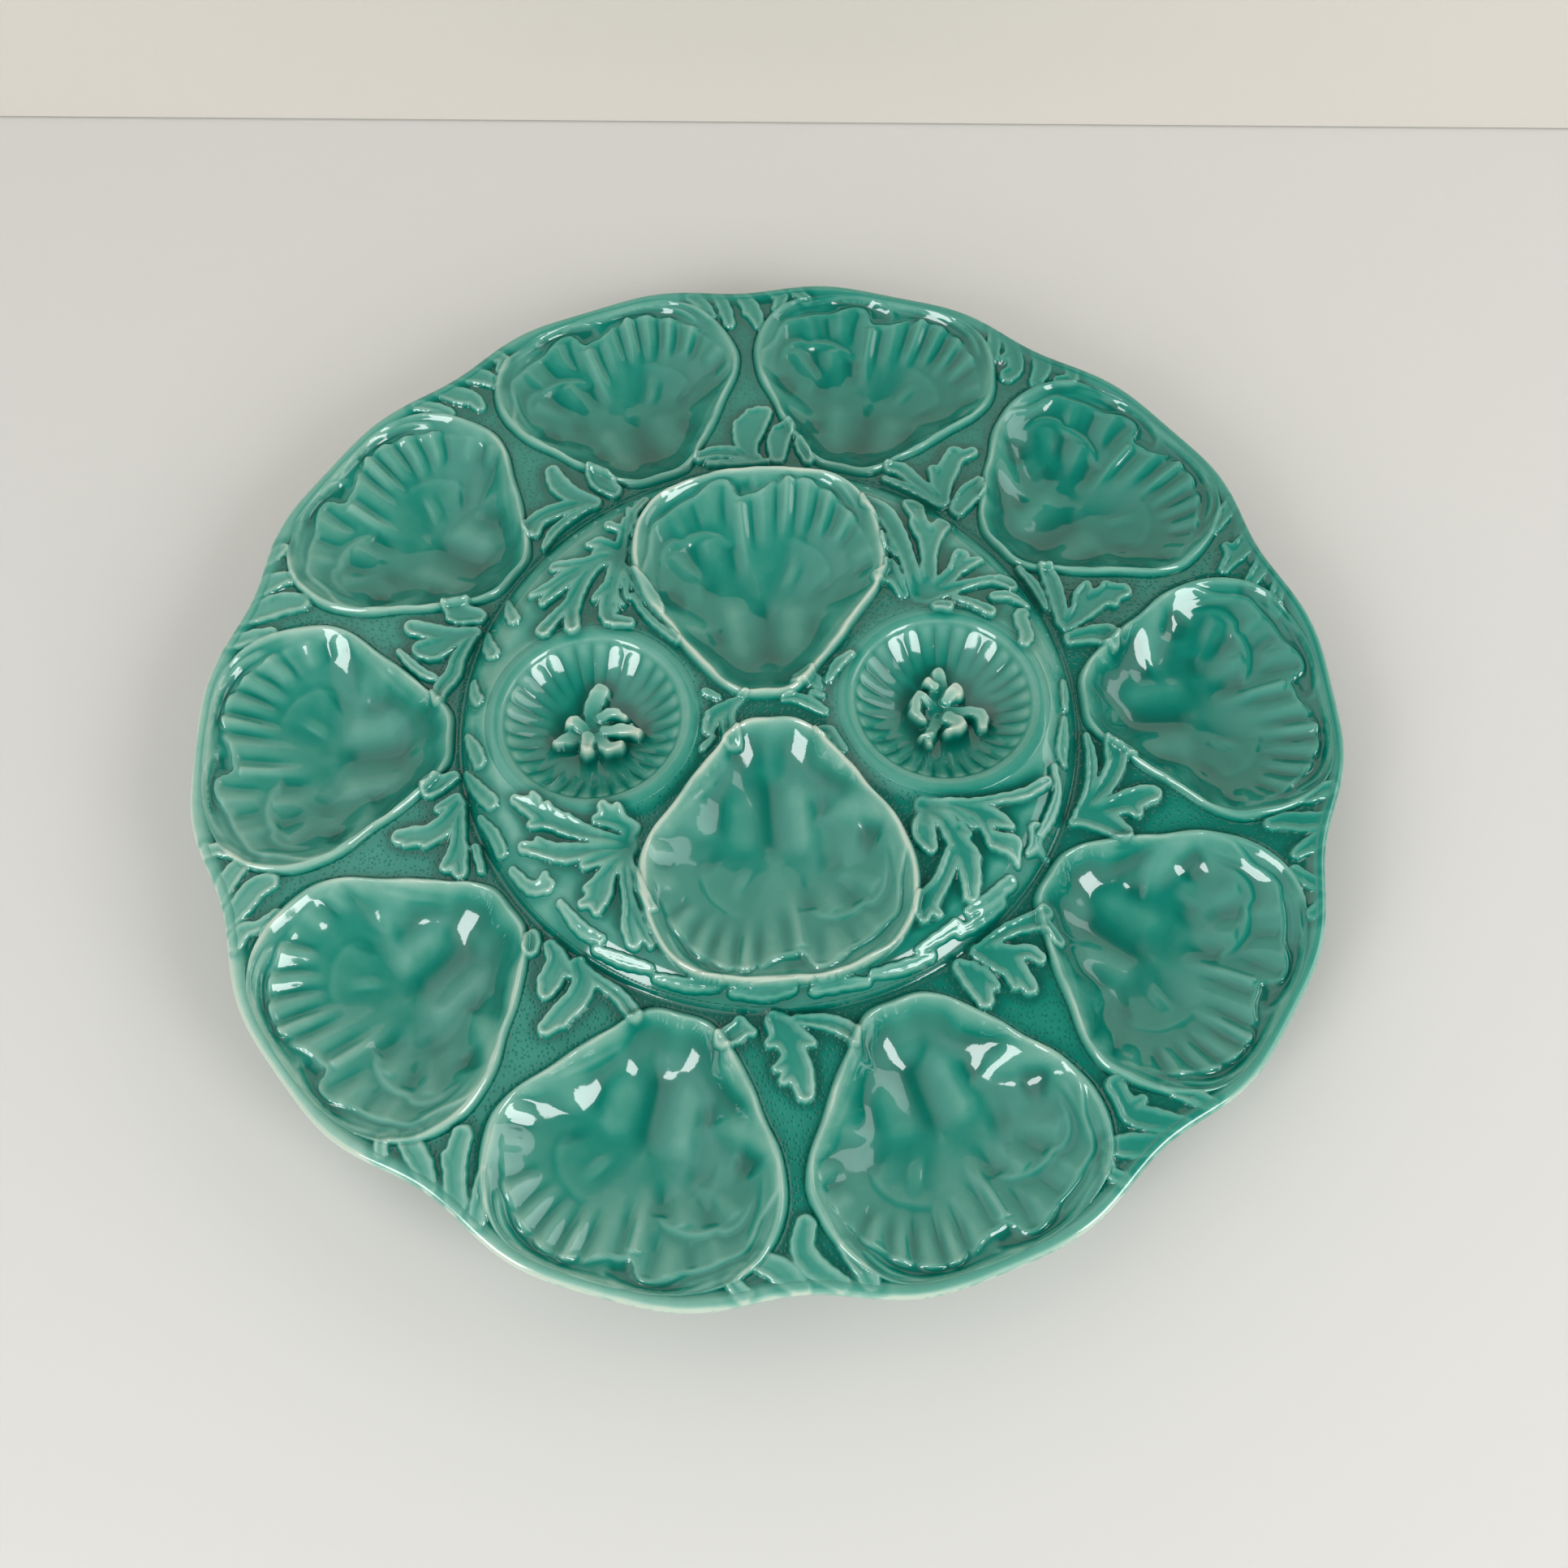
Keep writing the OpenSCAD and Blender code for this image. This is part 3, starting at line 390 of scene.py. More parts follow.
def cup_relief(r, angle):
    """Height of the bowl, and of the ring up to its crest."""
    rib = off_rib(angle)
    half = r * math.pi / RIBS
    ring = CUP_CREST - RING_DIP * np.clip((RING_CREST_R - r) / RING_IN_W, 0, 1) ** 2
    bowl = CUP_CREST - RING_DIP - (CUP_DEPTH - RING_DIP) * (1 - np.clip(r / BOWL_R, 0, 1) ** BOWL_POWER)
    end = BOWL_R - 0.4 - half * (1 - np.sqrt(np.maximum(1 - rib ** 2, 0)))
    ribbed = ease(14, 23, r)
    height = RIB_H - RIB_LOSS * ease(0.3, 0.8, np.sin(angle))
    ribs = height * (1 - rib ** 2) * ease(-0.1, 2.0, end - r) * ribbed
    bowl = bowl - RIB_BED * ribbed * ease(BOWL_R + 0.3, BOWL_R - 1.2, r) + ribs
    return np.where(r > BOWL_R, ring, np.maximum(bowl, CUP_CREST - CUP_DEPTH))


print("cup ring from", round(BOWL_R, 1), "to", round(RING_R, 1), "mm")

# %% [markdown]
# ## One function for the bare plate
# It asks of each point what lies there: a shell, a cup, or the ground. A shell's bead falls to a
# little under the ground at its outline, so the pieces meet in a soft crease. The ring of a cup
# runs on into the ground round it without one.

# %% Bare surface of the plate
SINK, SINK_LESS, CENTRE_SINK_LESS = 0.35, 0.15, 0.2
CENTRE_TILT, OPEN_SINK = 1.1, 0.3
TOP, TOP_EASE = 40.98, 0.25


def under_top(z):
    """Eases a height over to stay under the plate's highest level."""
    return TOP - TOP_EASE * np.logaddexp(0, (TOP - z) / TOP_EASE)


def shell_local(x, y, well):
    """Plan point in the mould's own coordinates. Wells 1 to 10 are the outer ones."""
    if well <= WELLS:
        a = (well - 1) * STEP
        return x * math.sin(a) - y * math.cos(a), x * math.cos(a) + y * math.sin(a) - HINGE_R
    turn = 1 if well == BACK else -1
    return turn * x * WELL_W / CENTRE_WELL_W, (turn * y - CENTRE_HINGE) * WELL_L / CENTRE_WELL_L


def shell_top(x, y, well):
    """Height of a well, and its share outwards: above 1 the point is outside its outline."""
    lx, ly = shell_local(x, y, well)
    out, lean, edge = shell_place(lx, ly)
    outer = well <= WELLS
    crest = CREST if outer else CENTRE_CREST + CENTRE_TILT * (ly - MIDDLE_Y) / WELL_L
    scale = 1 if outer else CENTRE_WELL_DEPTH / WELL_DEPTH
    opened = outer * at_lip(lean) * np.clip(out / edge, 0, 1) ** 3
    crest = crest + (ground(x, y) - crest) * opened
    fall = mould_fall[outer].at(lx, ly)
    z = crest + mould[outer].at(lx, ly) * scale - OPEN_SINK * opened * ease(0, 0.5, out - edge)
    sink = SINK - (SINK_LESS if outer else CENTRE_SINK_LESS) * ease(0.5, 0.9, np.cos(lean))
    return under_top(z - (crest - ground(x, y) + sink * (1 - opened)) * fall ** 2), out / edge


def bare_top(x, y):
    """Height of the plate without its seaweed and knobs."""
    z = ground(x, y)
    r, angle = np.hypot(x, y), np.arctan2(y, x)
    nearest = (np.round(angle / STEP).astype(int) % WELLS) + 1
    for well in SHELLS:
        if well <= WELLS:
            here = (nearest == well) & (r > HINGE_R - 1)
        else:
            here = (r < CENTRE_R) & ((y > 0) == (well == BACK))
        if here.any():
            top, share = shell_top(x[here], y[here], well)
            z[here] = np.where(share < 1.0, np.maximum(top, z[here] * (share > 0.97)), z[here])
    for side in (-1, 1):
        cx = x - side * CUP_X
        cr = np.hypot(cx, y)
        here = cr < RING_CREST_R
        z[here] = cup_relief(cr[here], np.arctan2(y[here], cx[here]))
    return z


print("bare plate ready")

# %% [markdown]
# ## Seaweed
# The seaweed was modelled by hand, so it is listed one by one. A blade is a row of points with the
# blade's width at each, and both its ends are round. The depth at a place is how far inside the
# nearest blade it lies. The blades of one spray melt together where they meet, because their
# depths are joined by a soft maximum. The relief rises over a steep shoulder to a fine rim and
# dips inside it, and the glaze later runs thin on that rim. The dip follows a softer depth, so it
# runs on through the joints between the blades.

# %% Blade shapes
MELT, DISH_MELT, WOBBLE, SPREAD = 0.42, 1.3, 0.16, 0.3
DISH, TUCK = 0.34, 0.45


def blade_depth(x, y, blade):
    """How far inside a blade's edge a place lies, less than 0 outside it."""
    line = through(blade, parts=3)
    best = np.full(x.shape, -1e9)
    for (px, py, pw), (qx, qy, qw) in zip(line[:-1], line[1:]):
        dx, dy = qx - px, qy - py
        t = np.clip(((x - px) * dx + (y - py) * dy) / (dx * dx + dy * dy), 0, 1)
        best = np.maximum(best, (pw + (qw - pw) * t) / 2 - np.hypot(x - px - t * dx, y - py - t * dy))
    return best


def spray_depth(x, y, blades):
    """Depth inside the nearest edge, and a rounder one that ignores the joints between blades."""
    total, round_total = np.zeros(x.shape), np.zeros(x.shape)
    for blade in blades:
        depth = blade_depth(x, y, blade)
        total += np.exp(np.clip(depth / MELT, -60, 60))
        round_total += np.exp(np.clip(depth / DISH_MELT, -60, 60))
    wobble = WOBBLE * np.sin(1.15 * x + 0.4 * y + 1) * np.sin(1.3 * y - 0.35 * x)
    depth = MELT * np.log(np.maximum(total, 1e-30)) + wobble + SPREAD
    return depth, np.maximum(depth, DISH_MELT * np.log(np.maximum(round_total, 1e-30)))


def leaf_relief(depth, round_depth, rise):
    """Height of a leaf over what carries it. Its border is tucked a little under that."""
    shoulder = ease(-0.5, 0.75, depth)
    return rise * (shoulder - DISH * ease(0.7, 2.8, round_depth)) - TUCK * ease(-0.3, -1.0, depth)


def fan(blades, turn, fuller=1.0):
    """Blades turned into place, and made a little fuller."""
    c, s = math.cos(turn), math.sin(turn)
    return [[(a * c - b * s, a * s + b * c, fuller * w) for a, b, w in blade] for blade in blades]


print("blade shapes ready")

# %% [markdown]
# The fronds in the gaps and the sprigs at the rim are listed across their gap and out from the
# plate's middle. Each gap differs a little, as hand work does. All rows are in millimetres.

# %% Fronds in the gaps at the hinges
GAP_FRONDS = [
    [[(4,104,4), (1,111,6.5), (-1.5,119,6.2), (-2,123.5,6.4), (-1.2,127.7,4.6)], [(-2,122,4), (-5.3,123.3,3)],
     [(-1,122,4), (1.8,123,2.6)], [(0,111,5), (-4,114,6), (-7.3,116.8,3.6)],
     [(9,103,4), (10,110,5.5), (12,115,7)], [(12,114,4), (15.5,115.7,3.4)],
     [(2,103.5,4), (-7,105.8,5), (-14,107,5.2), (-19.3,107,3.4)],
     [(-22,98.8,1.8), (-14,100.8,3.2), (-5,100.6,2)]],
    [[(5,103,4), (1,110,6), (-0.5,117,6.6), (-1.5,122.7,5.4)], [(0,122,4), (3.3,126.8,3.2)],
     [(0,109,5), (-4.3,112.8,3.6)], [(11,103,5), (10.8,110,6.6), (11,117,3)], [(12,112,5), (14,114.2,3)],
     [(3,103,4), (-8,105.5,4.4), (-14,107,4.8), (-18,105.3,3)], [(-17,100.6,1.8), (-6,101.6,2.6), (4,101,1.8)]],
    [[(0,103.5,4), (-1.5,110,7.5), (0,116,9.6), (3.5,121,7)], [(0,119,4), (0.3,122.5,3)],
     [(4,120,4), (6.3,122.7,3.4)], [(-3,114,4), (-4,117.8,3.2)],
     [(9,103,5), (9.5,109,6.8), (11.5,113.5,6.2), (14.3,116.5,3.4)], [(8.5,111,4), (9.2,114.7,2.8)],
     [(19.4,101,3), (18,105,3.4), (17,108,3.2)], [(2,102.4,3), (-7,105.5,4.6), (-13,106,4.4), (-18,104.5,3.4)],
     [(-15,101.6,1.8), (-5,101,2.2), (5,101.2,1.6)]],
    [[(7,103,4), (3,110,6), (2,117,6.4), (3.3,122.5,4.8)], [(15,103,5), (14,109,6.8), (14.5,114,4.8)],
     [(15,111,4), (17.2,111.5,3)], [(3,105.5,4), (-5,108.5,5.2), (-11,109.7,5.2), (-16,109,5)],
     [(-14,108,4), (-16,106,3.2)], [(-17,99.4,2), (-11,102.2,3), (-3,103,2.4), (5,102.4,1.6)]],
    [[(7,101.5,3), (3.5,108,6), (3.3,115,5.4), (3.4,122.5,4.8)], [(2,108,5), (-2.5,112.5,7.4), (-3.8,116.8,5.4)],
     [(13,103,5), (12.5,109,6.8), (15.5,113,6.2)], [(11,109,4), (10.6,111.6,3)], [(17,110,4), (18.3,112.5,3.2)],
     [(6,101.8,2.5), (-4,104,4.2), (-10,103.5,4.8), (-16,105.5,4.4), (-20,105.3,3.4)],
     [(-6.4,123.4,1.8), (-9.2,119,2.6), (-12,113,2.8), (-12.8,109,2.2)]],
    [[(7,101,4), (2,107,6), (0.5,112.5,5.8), (2,117.5,5.4), (3,121.5,4.2)], [(1,118,3), (0.2,120,2.4)],
     [(0,112,4), (-1.8,114.6,2.8)], [(17,99.4,3), (16,104.5,4.8), (15,108.3,4.4)], [(17,105,4), (19,108.3,4.2)],
     [(4,101.5,3), (-4,104.5,4.2), (-9,106.5,5.6), (-11.7,110.7,3.4)], [(-10,106,4), (-15,107.3,4)],
     [(9.6,100.8,2.6), (8.6,104,3), (8,107.6,2.4)], [(-17,101,2), (-9,100.4,2.4)]],
    [[(3,100.4,4), (-1.5,103.6,6), (-3,109,6.4), (-2,115,6), (-0.5,121.5,4)], [(-3,115,3), (-3.8,117.7,2.6)],
     [(13,100.2,4), (9,102.6,5.6), (7,108,6.4), (6,112.3,4.4)], [(7,103,4), (3.6,103.8,2.8)],
     [(8,108,3.5), (9,110,2.8)], [(19.6,100.4,3.6), (18.4,102.4,4.2), (17.8,104,4.2)],
     [(2,100.4,2.4), (-6,101.4,3.2), (-13,101.8,3.8), (-20.3,104.3,4)]],
    [[(4,100.6,5), (1,104,8), (-1,110,6.4), (-2.5,116,6.8), (-3.6,122.3,4.8)], [(0,116,4), (2.4,118.4,2.4)],
     [(1,113,4), (4.2,114.8,2.2)], [(2,105,5), (5.6,107.2,2.8)], [(-3,106,5), (-6.8,107.8,2.2)],
     [(14,100.4,3.6), (15,103,5.6), (19,105,5)], [(12.5,102.5,3), (10.6,103.4,2.4)],
     [(-3,100.6,3), (-12,102,4.4), (-18,105,4.6), (-19,108,3)]],
    [[(2,101,4), (-2,107,8), (-3,113,6), (-2.6,119,4.4)], [(-5,108,5), (-10,111,4), (-11,114.2,3.6)],
     [(-1,113,3.5), (0.5,116,2.4)], [(9,101,4), (8,107,7.6), (10.3,113.5,4.6)], [(5.5,108,4), (5,112,3)],
     [(0,101,3), (-10,102,4.2), (-17,105,4.2), (-20.3,109,4), (-20.5,113.3,4)], [(-15,103.5,4), (-23.5,105,3.6)]],
    [[(8,104,4), (5,110,5), (1,115.5,6.6), (-2.5,120.5,6.2), (-4,123.5,4.8)], [(1,117,5), (3.4,119.5,3.6)],
     [(9,104,6), (9.4,111,6.6), (11.4,116.5,5.4)],
     [(5,104,4), (-3,108.5,5.2), (-11,110.5,5.6), (-16,111,4.8), (-17.7,114.8,3.6)],
     [(-14,109,4), (-19.5,107.5,3.4)], [(-19,99.8,1.8), (-12,102.6,3), (-2,104,3.2), (8,103,3), (12,101,2.4)]]]
print(len(GAP_FRONDS), "fronds with", sum(map(len, GAP_FRONDS)), "blades")

# %% Sprigs at the rim
RIM_SPRIGS = [
    [[(-19,178,4), (-15.4,172.6,4), (-12,167,3)], [(-5,178,5), (-1,171,5.6), (1,167,4.4), (3.5,163,3)],
     [(-1,169,4), (-4.2,168,2.6)], [(4,179,4), (9,172.5,4.4), (11.4,168.6,3.2)],
     [(15,178,4), (20,173.4,4), (24,172,3)]],
    [[(-17,178,3), (-14,173,4), (-11,168,3)], [(-10,177,4), (-5,172,4.8), (-2,167,5), (-2.8,163.2,5)],
     [(-7,172,3), (-7.6,169,2.4)], [(2,178,5), (6,172.5,5.6), (7,166,4)],
     [(15,178,4), (17,174,4), (13.6,170.6,3)]],
    [[(-18,177,4), (-14,172.5,4), (-11.6,168,3)], [(-9,177,3), (-6.5,171,4.2), (-5,164,3.4)],
     [(-1,177.5,3), (2.5,172,5.2), (5,166,4.4), (5.5,162.6,2.6)], [(3,171,3), (1.4,168.8,2.2)],
     [(11,178,4), (14.6,175,4.2), (12.6,170,3)], [(20,178,3.6), (24,174,3.2)]],
    [[(-17,177,3), (-12.6,172,3.6), (-9.6,167,3)], [(-7,177,4.4), (-3,171,6), (0,167,5), (0.2,162.8,3.6)],
     [(3,178,5), (8,173,5.6), (10.4,168.5,4.4)], [(17,178,3.6), (19,174.6,3.6), (15.4,171.6,2.8)]],
    [[(-17,178,4), (-13,172,4), (-10,167,3)], [(-8,178,4), (-3,172.6,6.6), (1,168,7), (3.4,162.5,5.6)],
     [(1,179,4), (8,174,5.6), (11.5,169.5,3.8)], [(16,179,4), (22,176,3.2)]],
    [[(-13,177,4), (-9.6,173,4), (-10,169,3), (-8,163,3)],
     [(-6,178,4), (-1.5,172,5.8), (2.5,167,6), (3.3,162.8,5.2)], [(3,178,4), (9,173,5.2), (12.4,168.5,4.2)],
     [(20,178,4), (19.6,174.4,3.6), (16.6,170.6,2.6)]],
    [[(-17,176,4), (-14,171,3.6), (-11,165,3)], [(-10,176,5), (-4.5,170,5.2), (-1,164.5,5.2), (1,159.5,4.8)],
     [(-1,168,3), (1.2,166.7,2.2)], [(-1,176.6,3), (5,172.5,5), (12,169.4,5.2), (13,166,3)],
     [(17,176,3), (19.4,173,3), (18,170,2.4)]],
    [[(-18,176,4), (-14.6,170.6,3.6), (-11.6,166,3)], [(-10,176,4), (-3,171,5.6), (0,166,5.6), (-1.3,159.5,4.8)],
     [(1,176.6,4), (6,171.6,6), (12,168.6,4.8)], [(17,177,4), (20,173,3.2), (17,170,2.4)]],
    [[(-18,177,4), (-15,171,4), (-12.6,166,3.4)],
     [(-8,177,4), (-2.5,170.5,6), (1,165.5,5.6), (0,161,4.8), (-1.3,156.5,5)], [(-1,164,3), (-4.5,164,2.2)],
     [(1,177,5), (8,171.4,6), (12.4,168,3.8)], [(16,177,3.6), (17.4,173.4,3), (15.6,170.6,2.4)]],
    [[(-20,177,4), (-16,172,4), (-14,167,3.4)], [(-9,178,4), (-6,171,5.6), (-5,165,5), (-3,160.5,3.4)],
     [(-3,177.6,4), (2,172.5,4.2), (5.5,169.3,2.8)], [(14,178,4), (13.6,174,4), (11,169.6,3)],
     [(20,179,3), (24,176,3)]]]
print(len(RIM_SPRIGS), "sprigs with", sum(map(len, RIM_SPRIGS)), "blades")

# %% [markdown]
# The sprays on the raised middle are listed on the plate's own axes. The four big ones fill the
# corners between the two shells and the two cups, the two small ones sit where the hinges meet,
# and single leaves lie along the slope.

# %% Sprays on the raised middle
SPRAYS = {
    "centre_spray_back_left": [
        [(-43,70,3), (-41.4,76,3), (-37.2,82.6,3)], [(-41.6,74,3), (-43,79.2,1.8)],
        [(-43.6,69.6,2), (-49.6,72.8,3)],
        [(-44,74,2), (-45,66,4), (-47,58,4.4), (-48.6,50,5), (-50.4,42,5), (-49.6,35.6,5), (-43.2,33.8,3.4)],
        [(-47,63,4), (-52,65.4,4.4), (-56.4,64.9,1.8)], [(-51,64,4), (-54,61.4,2.4)],
        [(-49,60,4), (-56,57.8,4.4), (-62,57.2,4), (-67.6,57,3.8)],
        [(-52,59,4), (-58,56,4), (-64,53,3.8), (-70,48.6,3.4), (-75.4,46.4,1.9)],
        [(-60,54,4), (-67,48,3.8), (-71.6,43.2,2.4)],
        [(-53,58,3), (-57.6,52,3.6), (-60.6,45,3.6), (-66,39,3.6), (-71.2,32.4,4.6)],
        [(-55,56,3), (-60,48,4.4), (-62,41,4.6), (-61.8,33,4.6)], [(-62,44,3), (-60,41.6,1.6)],
        [(-51,47,4), (-54.6,43.8,2.2)], [(-48.6,41,3), (-47.4,39,1.8)],
        [(-45,56,3), (-47.6,50,1.8), (-47.2,44,1.6), (-45.4,41,1.6)], [(-44.6,50,2.6), (-43.8,43.4,1.7)],
        [(-43.6,54,3), (-39,47,5), (-35,40.6,4.6), (-32.8,36.6,2)],
        [(-42,44,2), (-38,37,2.4), (-33,31,2.4), (-28,26,1.8)]],
    "centre_spray_back_right": [
        [(38,76,5), (43.2,71.4,6.4), (47,62,6), (49.4,52,5), (51,44,5.4), (54,39.6,6)],
        [(42.4,62,2), (43,59,3), (45.6,55.4,2.4)], [(43.5,51,3.6), (44.5,45.6,5), (46.6,40,3)],
        [(43,46.6,4), (38.6,45.6,3.6)],
        [(55,39.4,6.4), (55.6,46,5.4), (56.4,53,5), (57,60,6.6), (55,68,4.8), (53.7,75.6,7)],
        [(58,60,5.6), (62.6,67,5.2)], [(54,64,4), (52.6,67.4,2.6)], [(58,41,5), (64,46.6,5), (67,52.4,5.6)],
        [(67,49,5), (73.6,51.3,1.9)], [(52,39.6,5), (60,39.4,5), (68,41.6,3.2), (76,43,3), (82.3,42.6,5.6)],
        [(79,43.4,2), (79.4,44.8,1.6)], [(63,36.6,2), (68,34.6,2.8), (74,30.8,4)], [(57,34,3.4), (60.6,33.2,3.6)],
        [(76,36.6,2.6), (82,36.6,3), (87.2,33.8,2)]],
    "centre_spray_front_left": [
        [(-43.6,-44,3), (-54,-41.6,4), (-62,-38.3,6), (-69,-34.5,6), (-75,-30.5,5), (-79.5,-27.8,3)],
        [(-70,-35.6,4), (-74.4,-36.3,2.8)], [(-73,-29,3), (-73.8,-26.9,2)], [(-68.6,-33,3), (-69.6,-30.4,1.7)],
        [(-61.6,-37.6,3), (-63.3,-34.8,1.7)],
        [(-44,-46,3), (-56,-46,4.4), (-64,-46.5,6.2), (-71,-45,4.8), (-77,-43.5,3.3)],
        [(-69,-44,3), (-72.6,-41.3,1.8)], [(-46,-46.6,3), (-53.5,-49,4), (-58.3,-50.7,3)],
        [(-45.6,-47,3), (-51.5,-54,5), (-54,-60,7), (-55,-66,2.4)], [(-53,-56,4), (-58,-58.3,2.1)],
        [(-55,-61.5,4), (-59,-63.2,2.8)],
        [(-44.6,-40,3.4), (-46,-48,3.6), (-46,-57,3.4), (-45,-64,4), (-45,-71,5), (-44,-76,4.4)],
        [(-44,-66,3.5), (-41,-73.5,3), (-39,-77.5,2.1)], [(-45,-50,2.4), (-42.6,-58,2.6), (-38,-66.6,2.2)],
        [(-43.6,-39,4), (-50,-36,5.6), (-54.5,-36.3,3)], [(-50.5,-35,5), (-52.5,-32,3)],
        [(-48,-34.4,3), (-48,-32.4,2)]],
    "centre_spray_front_right": [
        [(46,-36.4,3), (60,-37.5,2.6), (70,-36.5,3), (78,-35,3.4), (84.8,-31,3)],
        [(45,-36.4,3), (52,-38.4,2.6), (57,-42,2.6), (60.4,-45.4,1.6)],
        [(55,-38,3), (63,-41,6), (68,-43.5,5), (71.8,-46,1.8)], [(63.5,-43,5), (65,-49.5,2.4)],
        [(66.5,-50.5,5.6), (71,-52,6.4)], [(71.6,-53,4), (72.6,-57.6,1.7)],
        [(46,-37,3), (51,-42,5), (54,-48,6), (56.5,-54,6.8), (57.5,-61,6), (57,-67.5,4.4)],
        [(58,-53,4), (60.5,-55.3,1.7)], [(56,-46,4), (58.6,-47.8,1.6)],
        [(53,-54,5), (48.5,-63,5), (43.4,-69,6.6), (42,-73.5,4)], [(44,-69,4), (46.7,-73.2,2.2)],
        [(46,-38.6,3), (44.8,-46,7), (46.5,-51.4,3.8)], [(88,-26,2), (88.4,-34,2.6), (85,-42,3), (81,-48,2.2)]],
    "middle_sprig_left": [
        [(-7,4.8,1.8), (-13,0.5,4.2), (-17.5,-2.5,4.8), (-19,-6.5,3.8)],
        [(-12,2,3), (-12.8,-4,4.2), (-11.8,-11,5.8)], [(-19.3,7,2.6), (-16,5,2.2)], [(-14,1,3), (-18.6,-0.8,2)],
        [(-17.6,-9.6,1.6), (-21,-13,2.2)]],
    "middle_sprig_right": [
        [(5,2.6,1.6), (8.3,3,2.8), (12.5,1.5,3.8), (17.5,-2.2,2.8)],
        [(8.5,9.5,1.8), (13,9.3,2.8), (16.8,6.5,2.3)], [(9.4,11.8,1.8), (13,12,2.8), (16,9.5,2.8)],
        [(13,12,2.4), (13.8,13.6,1.8)], [(19.6,9,2), (23.4,14.6,3.6), (27.6,17.4,2.2)],
        [(23,-16.4,1.8), (20.4,-12.4,2.8), (18.5,-10,4.2), (16.3,-9.8,4.2)], [(14,4.6,1.8), (17.4,3.4,1.6)]],
    "slope_leaves_left": [
        [(-84,48,1.6), (-83,43,3.4), (-81.2,38.6,4)], [(-90.8,36.6,1.8), (-90,31,4), (-88,26.6,4.4)],
        [(-94.6,17.6,2.2), (-94,13,3.4), (-92.4,9.6,3.4)], [(-96,-2,2), (-93.4,-7.4,4), (-91.4,-12.6,4)],
        [(-96.4,-14.6,2), (-92.4,-21,4), (-87.4,-27,4.4)], [(-91.6,-30.6,2), (-87,-37,3.4), (-84.4,-43,3.6)],
        [(-81,-49.4,2.4), (-75.4,-55.6,3.4), (-70,-56,4.4)], [(-71,-55,3), (-70.6,-52.8,2.2)],
        [(-66,-62,2), (-60,-70,3.6), (-54,-74,2.6)], [(-56,-76.4,2), (-48,-80.4,3.2), (-40,-83.6,2.4)],
        [(-38,-86.4,2), (-28,-89.4,3.2), (-20,-90.4,2.4)], [(-16,-92.4,2), (-6,-93.6,3.2), (2,-92.6,2.4)]],
    "slope_leaves_right": [
        [(86,31,3), (84.2,28.8,4.6), (85.2,22,4.6), (84,18.6,3.4)], [(96,6,2), (95.6,1,2.6), (95,-4,2)],
        [(94,-8,2), (93,-14,3.4), (91.6,-20,3.6), (91.8,-24,2.2)],
        [(79.8,-46.5,4.5), (79,-51,3.4), (76.5,-53.8,2)], [(80.6,-52,2), (82.6,-54.4,1.8)],
        [(70,-62.8,3.8), (63,-68,3.6), (56,-72,2.6)], [(67,-69,2.4), (60,-74,3.2), (53,-78,2.2)],
        [(52,-76,3.4), (46,-79.6,2.8), (40,-83,2)], [(44,-84.4,2.2), (35,-87.6,3.2), (26,-89.4,2.2)],
        [(24,-91.4,2), (15,-92,3.2), (8,-93.4,2.2)]]}
KNOBS = {
    "cup_knob_right": [
        [(0,2,7), (0,7,8), (0.5,13,5.5)], [(-1,8,4), (-3.4,10,4)], [(2,3,5), (5,6,5.5), (6,4.4,4)],
        [(-3,2,5), (-6.5,5.5,4), (-8.5,0,5), (-6,-3.6,3.4)],
        [(3,-1,6), (8.5,-1.2,5), (12.4,-3,5.5), (12.6,-7.5,4.5)], [(2,-3,6), (5.4,-6.4,5), (1,-8.8,3)],
        [(-1,-3,6), (-4.5,-8.5,5), (-5.4,-12.4,3.2)], [(-4,-8.6,3.4), (-7.6,-10,2.8)]],
    "cup_knob_left": [
        [(-1,3,6), (-0.5,8,7.5), (2,13,7)], [(2,4,5), (6,5.4,4.5), (10,2.8,3)],
        [(3,-1,5), (9,-1.2,5.5), (14,-3,4)], [(10,-0.5,3), (12,0.3,2.5)], [(1,-3,6), (4,-7,5.5), (8,-7,4.5)],
        [(-2,-3,6), (-2.5,-8,5)], [(-1,0,7), (-7,-2.2,7), (-12.5,-4.6,3.4)],
        [(-3,0,5), (-6,2.4,5.5), (-8,1.6,4)]]}
HUBS = {"centre_spray_back_left": (-45, 62), "centre_spray_back_right": (50, 37),
        "centre_spray_front_left": (-44, -43), "centre_spray_front_right": (45, -36)}
print(len(SPRAYS), "sprays on the middle with", sum(map(len, SPRAYS.values())), "blades")

# %% [markdown]
# Every spray gets its place, its rise and its hub. A big spray grows from its hub and lies nearly
# flat there. Leaves also run out where they reach the rim or the open lip of a well.

# %% All the seaweed, and how it lies
FROND_FULL, SPRIG_FULL, SPRAY_FULL = 1.15, 1.2, 1.08
FROND_RISE, SPRIG_RISE, SMALL_RISE = 2.5, 1.8, 1.6
HUB_SHARE = 0.2

seaweed = {}
for i in range(WELLS):
    turn = (i + 0.5) * STEP - math.pi / 2
    seaweed[f"gap_frond_{i + 1:02d}"] = (fan(GAP_FRONDS[i], turn, FROND_FULL), FROND_RISE, None)
    seaweed[f"rim_sprig_{i + 1:02d}"] = (fan(RIM_SPRIGS[i], turn, SPRIG_FULL), SPRIG_RISE, None)
for node, blades in SPRAYS.items():
    seaweed[node] = (fan(blades, 0, SPRAY_FULL), FROND_RISE if "spray" in node else SMALL_RISE, HUBS.get(node))


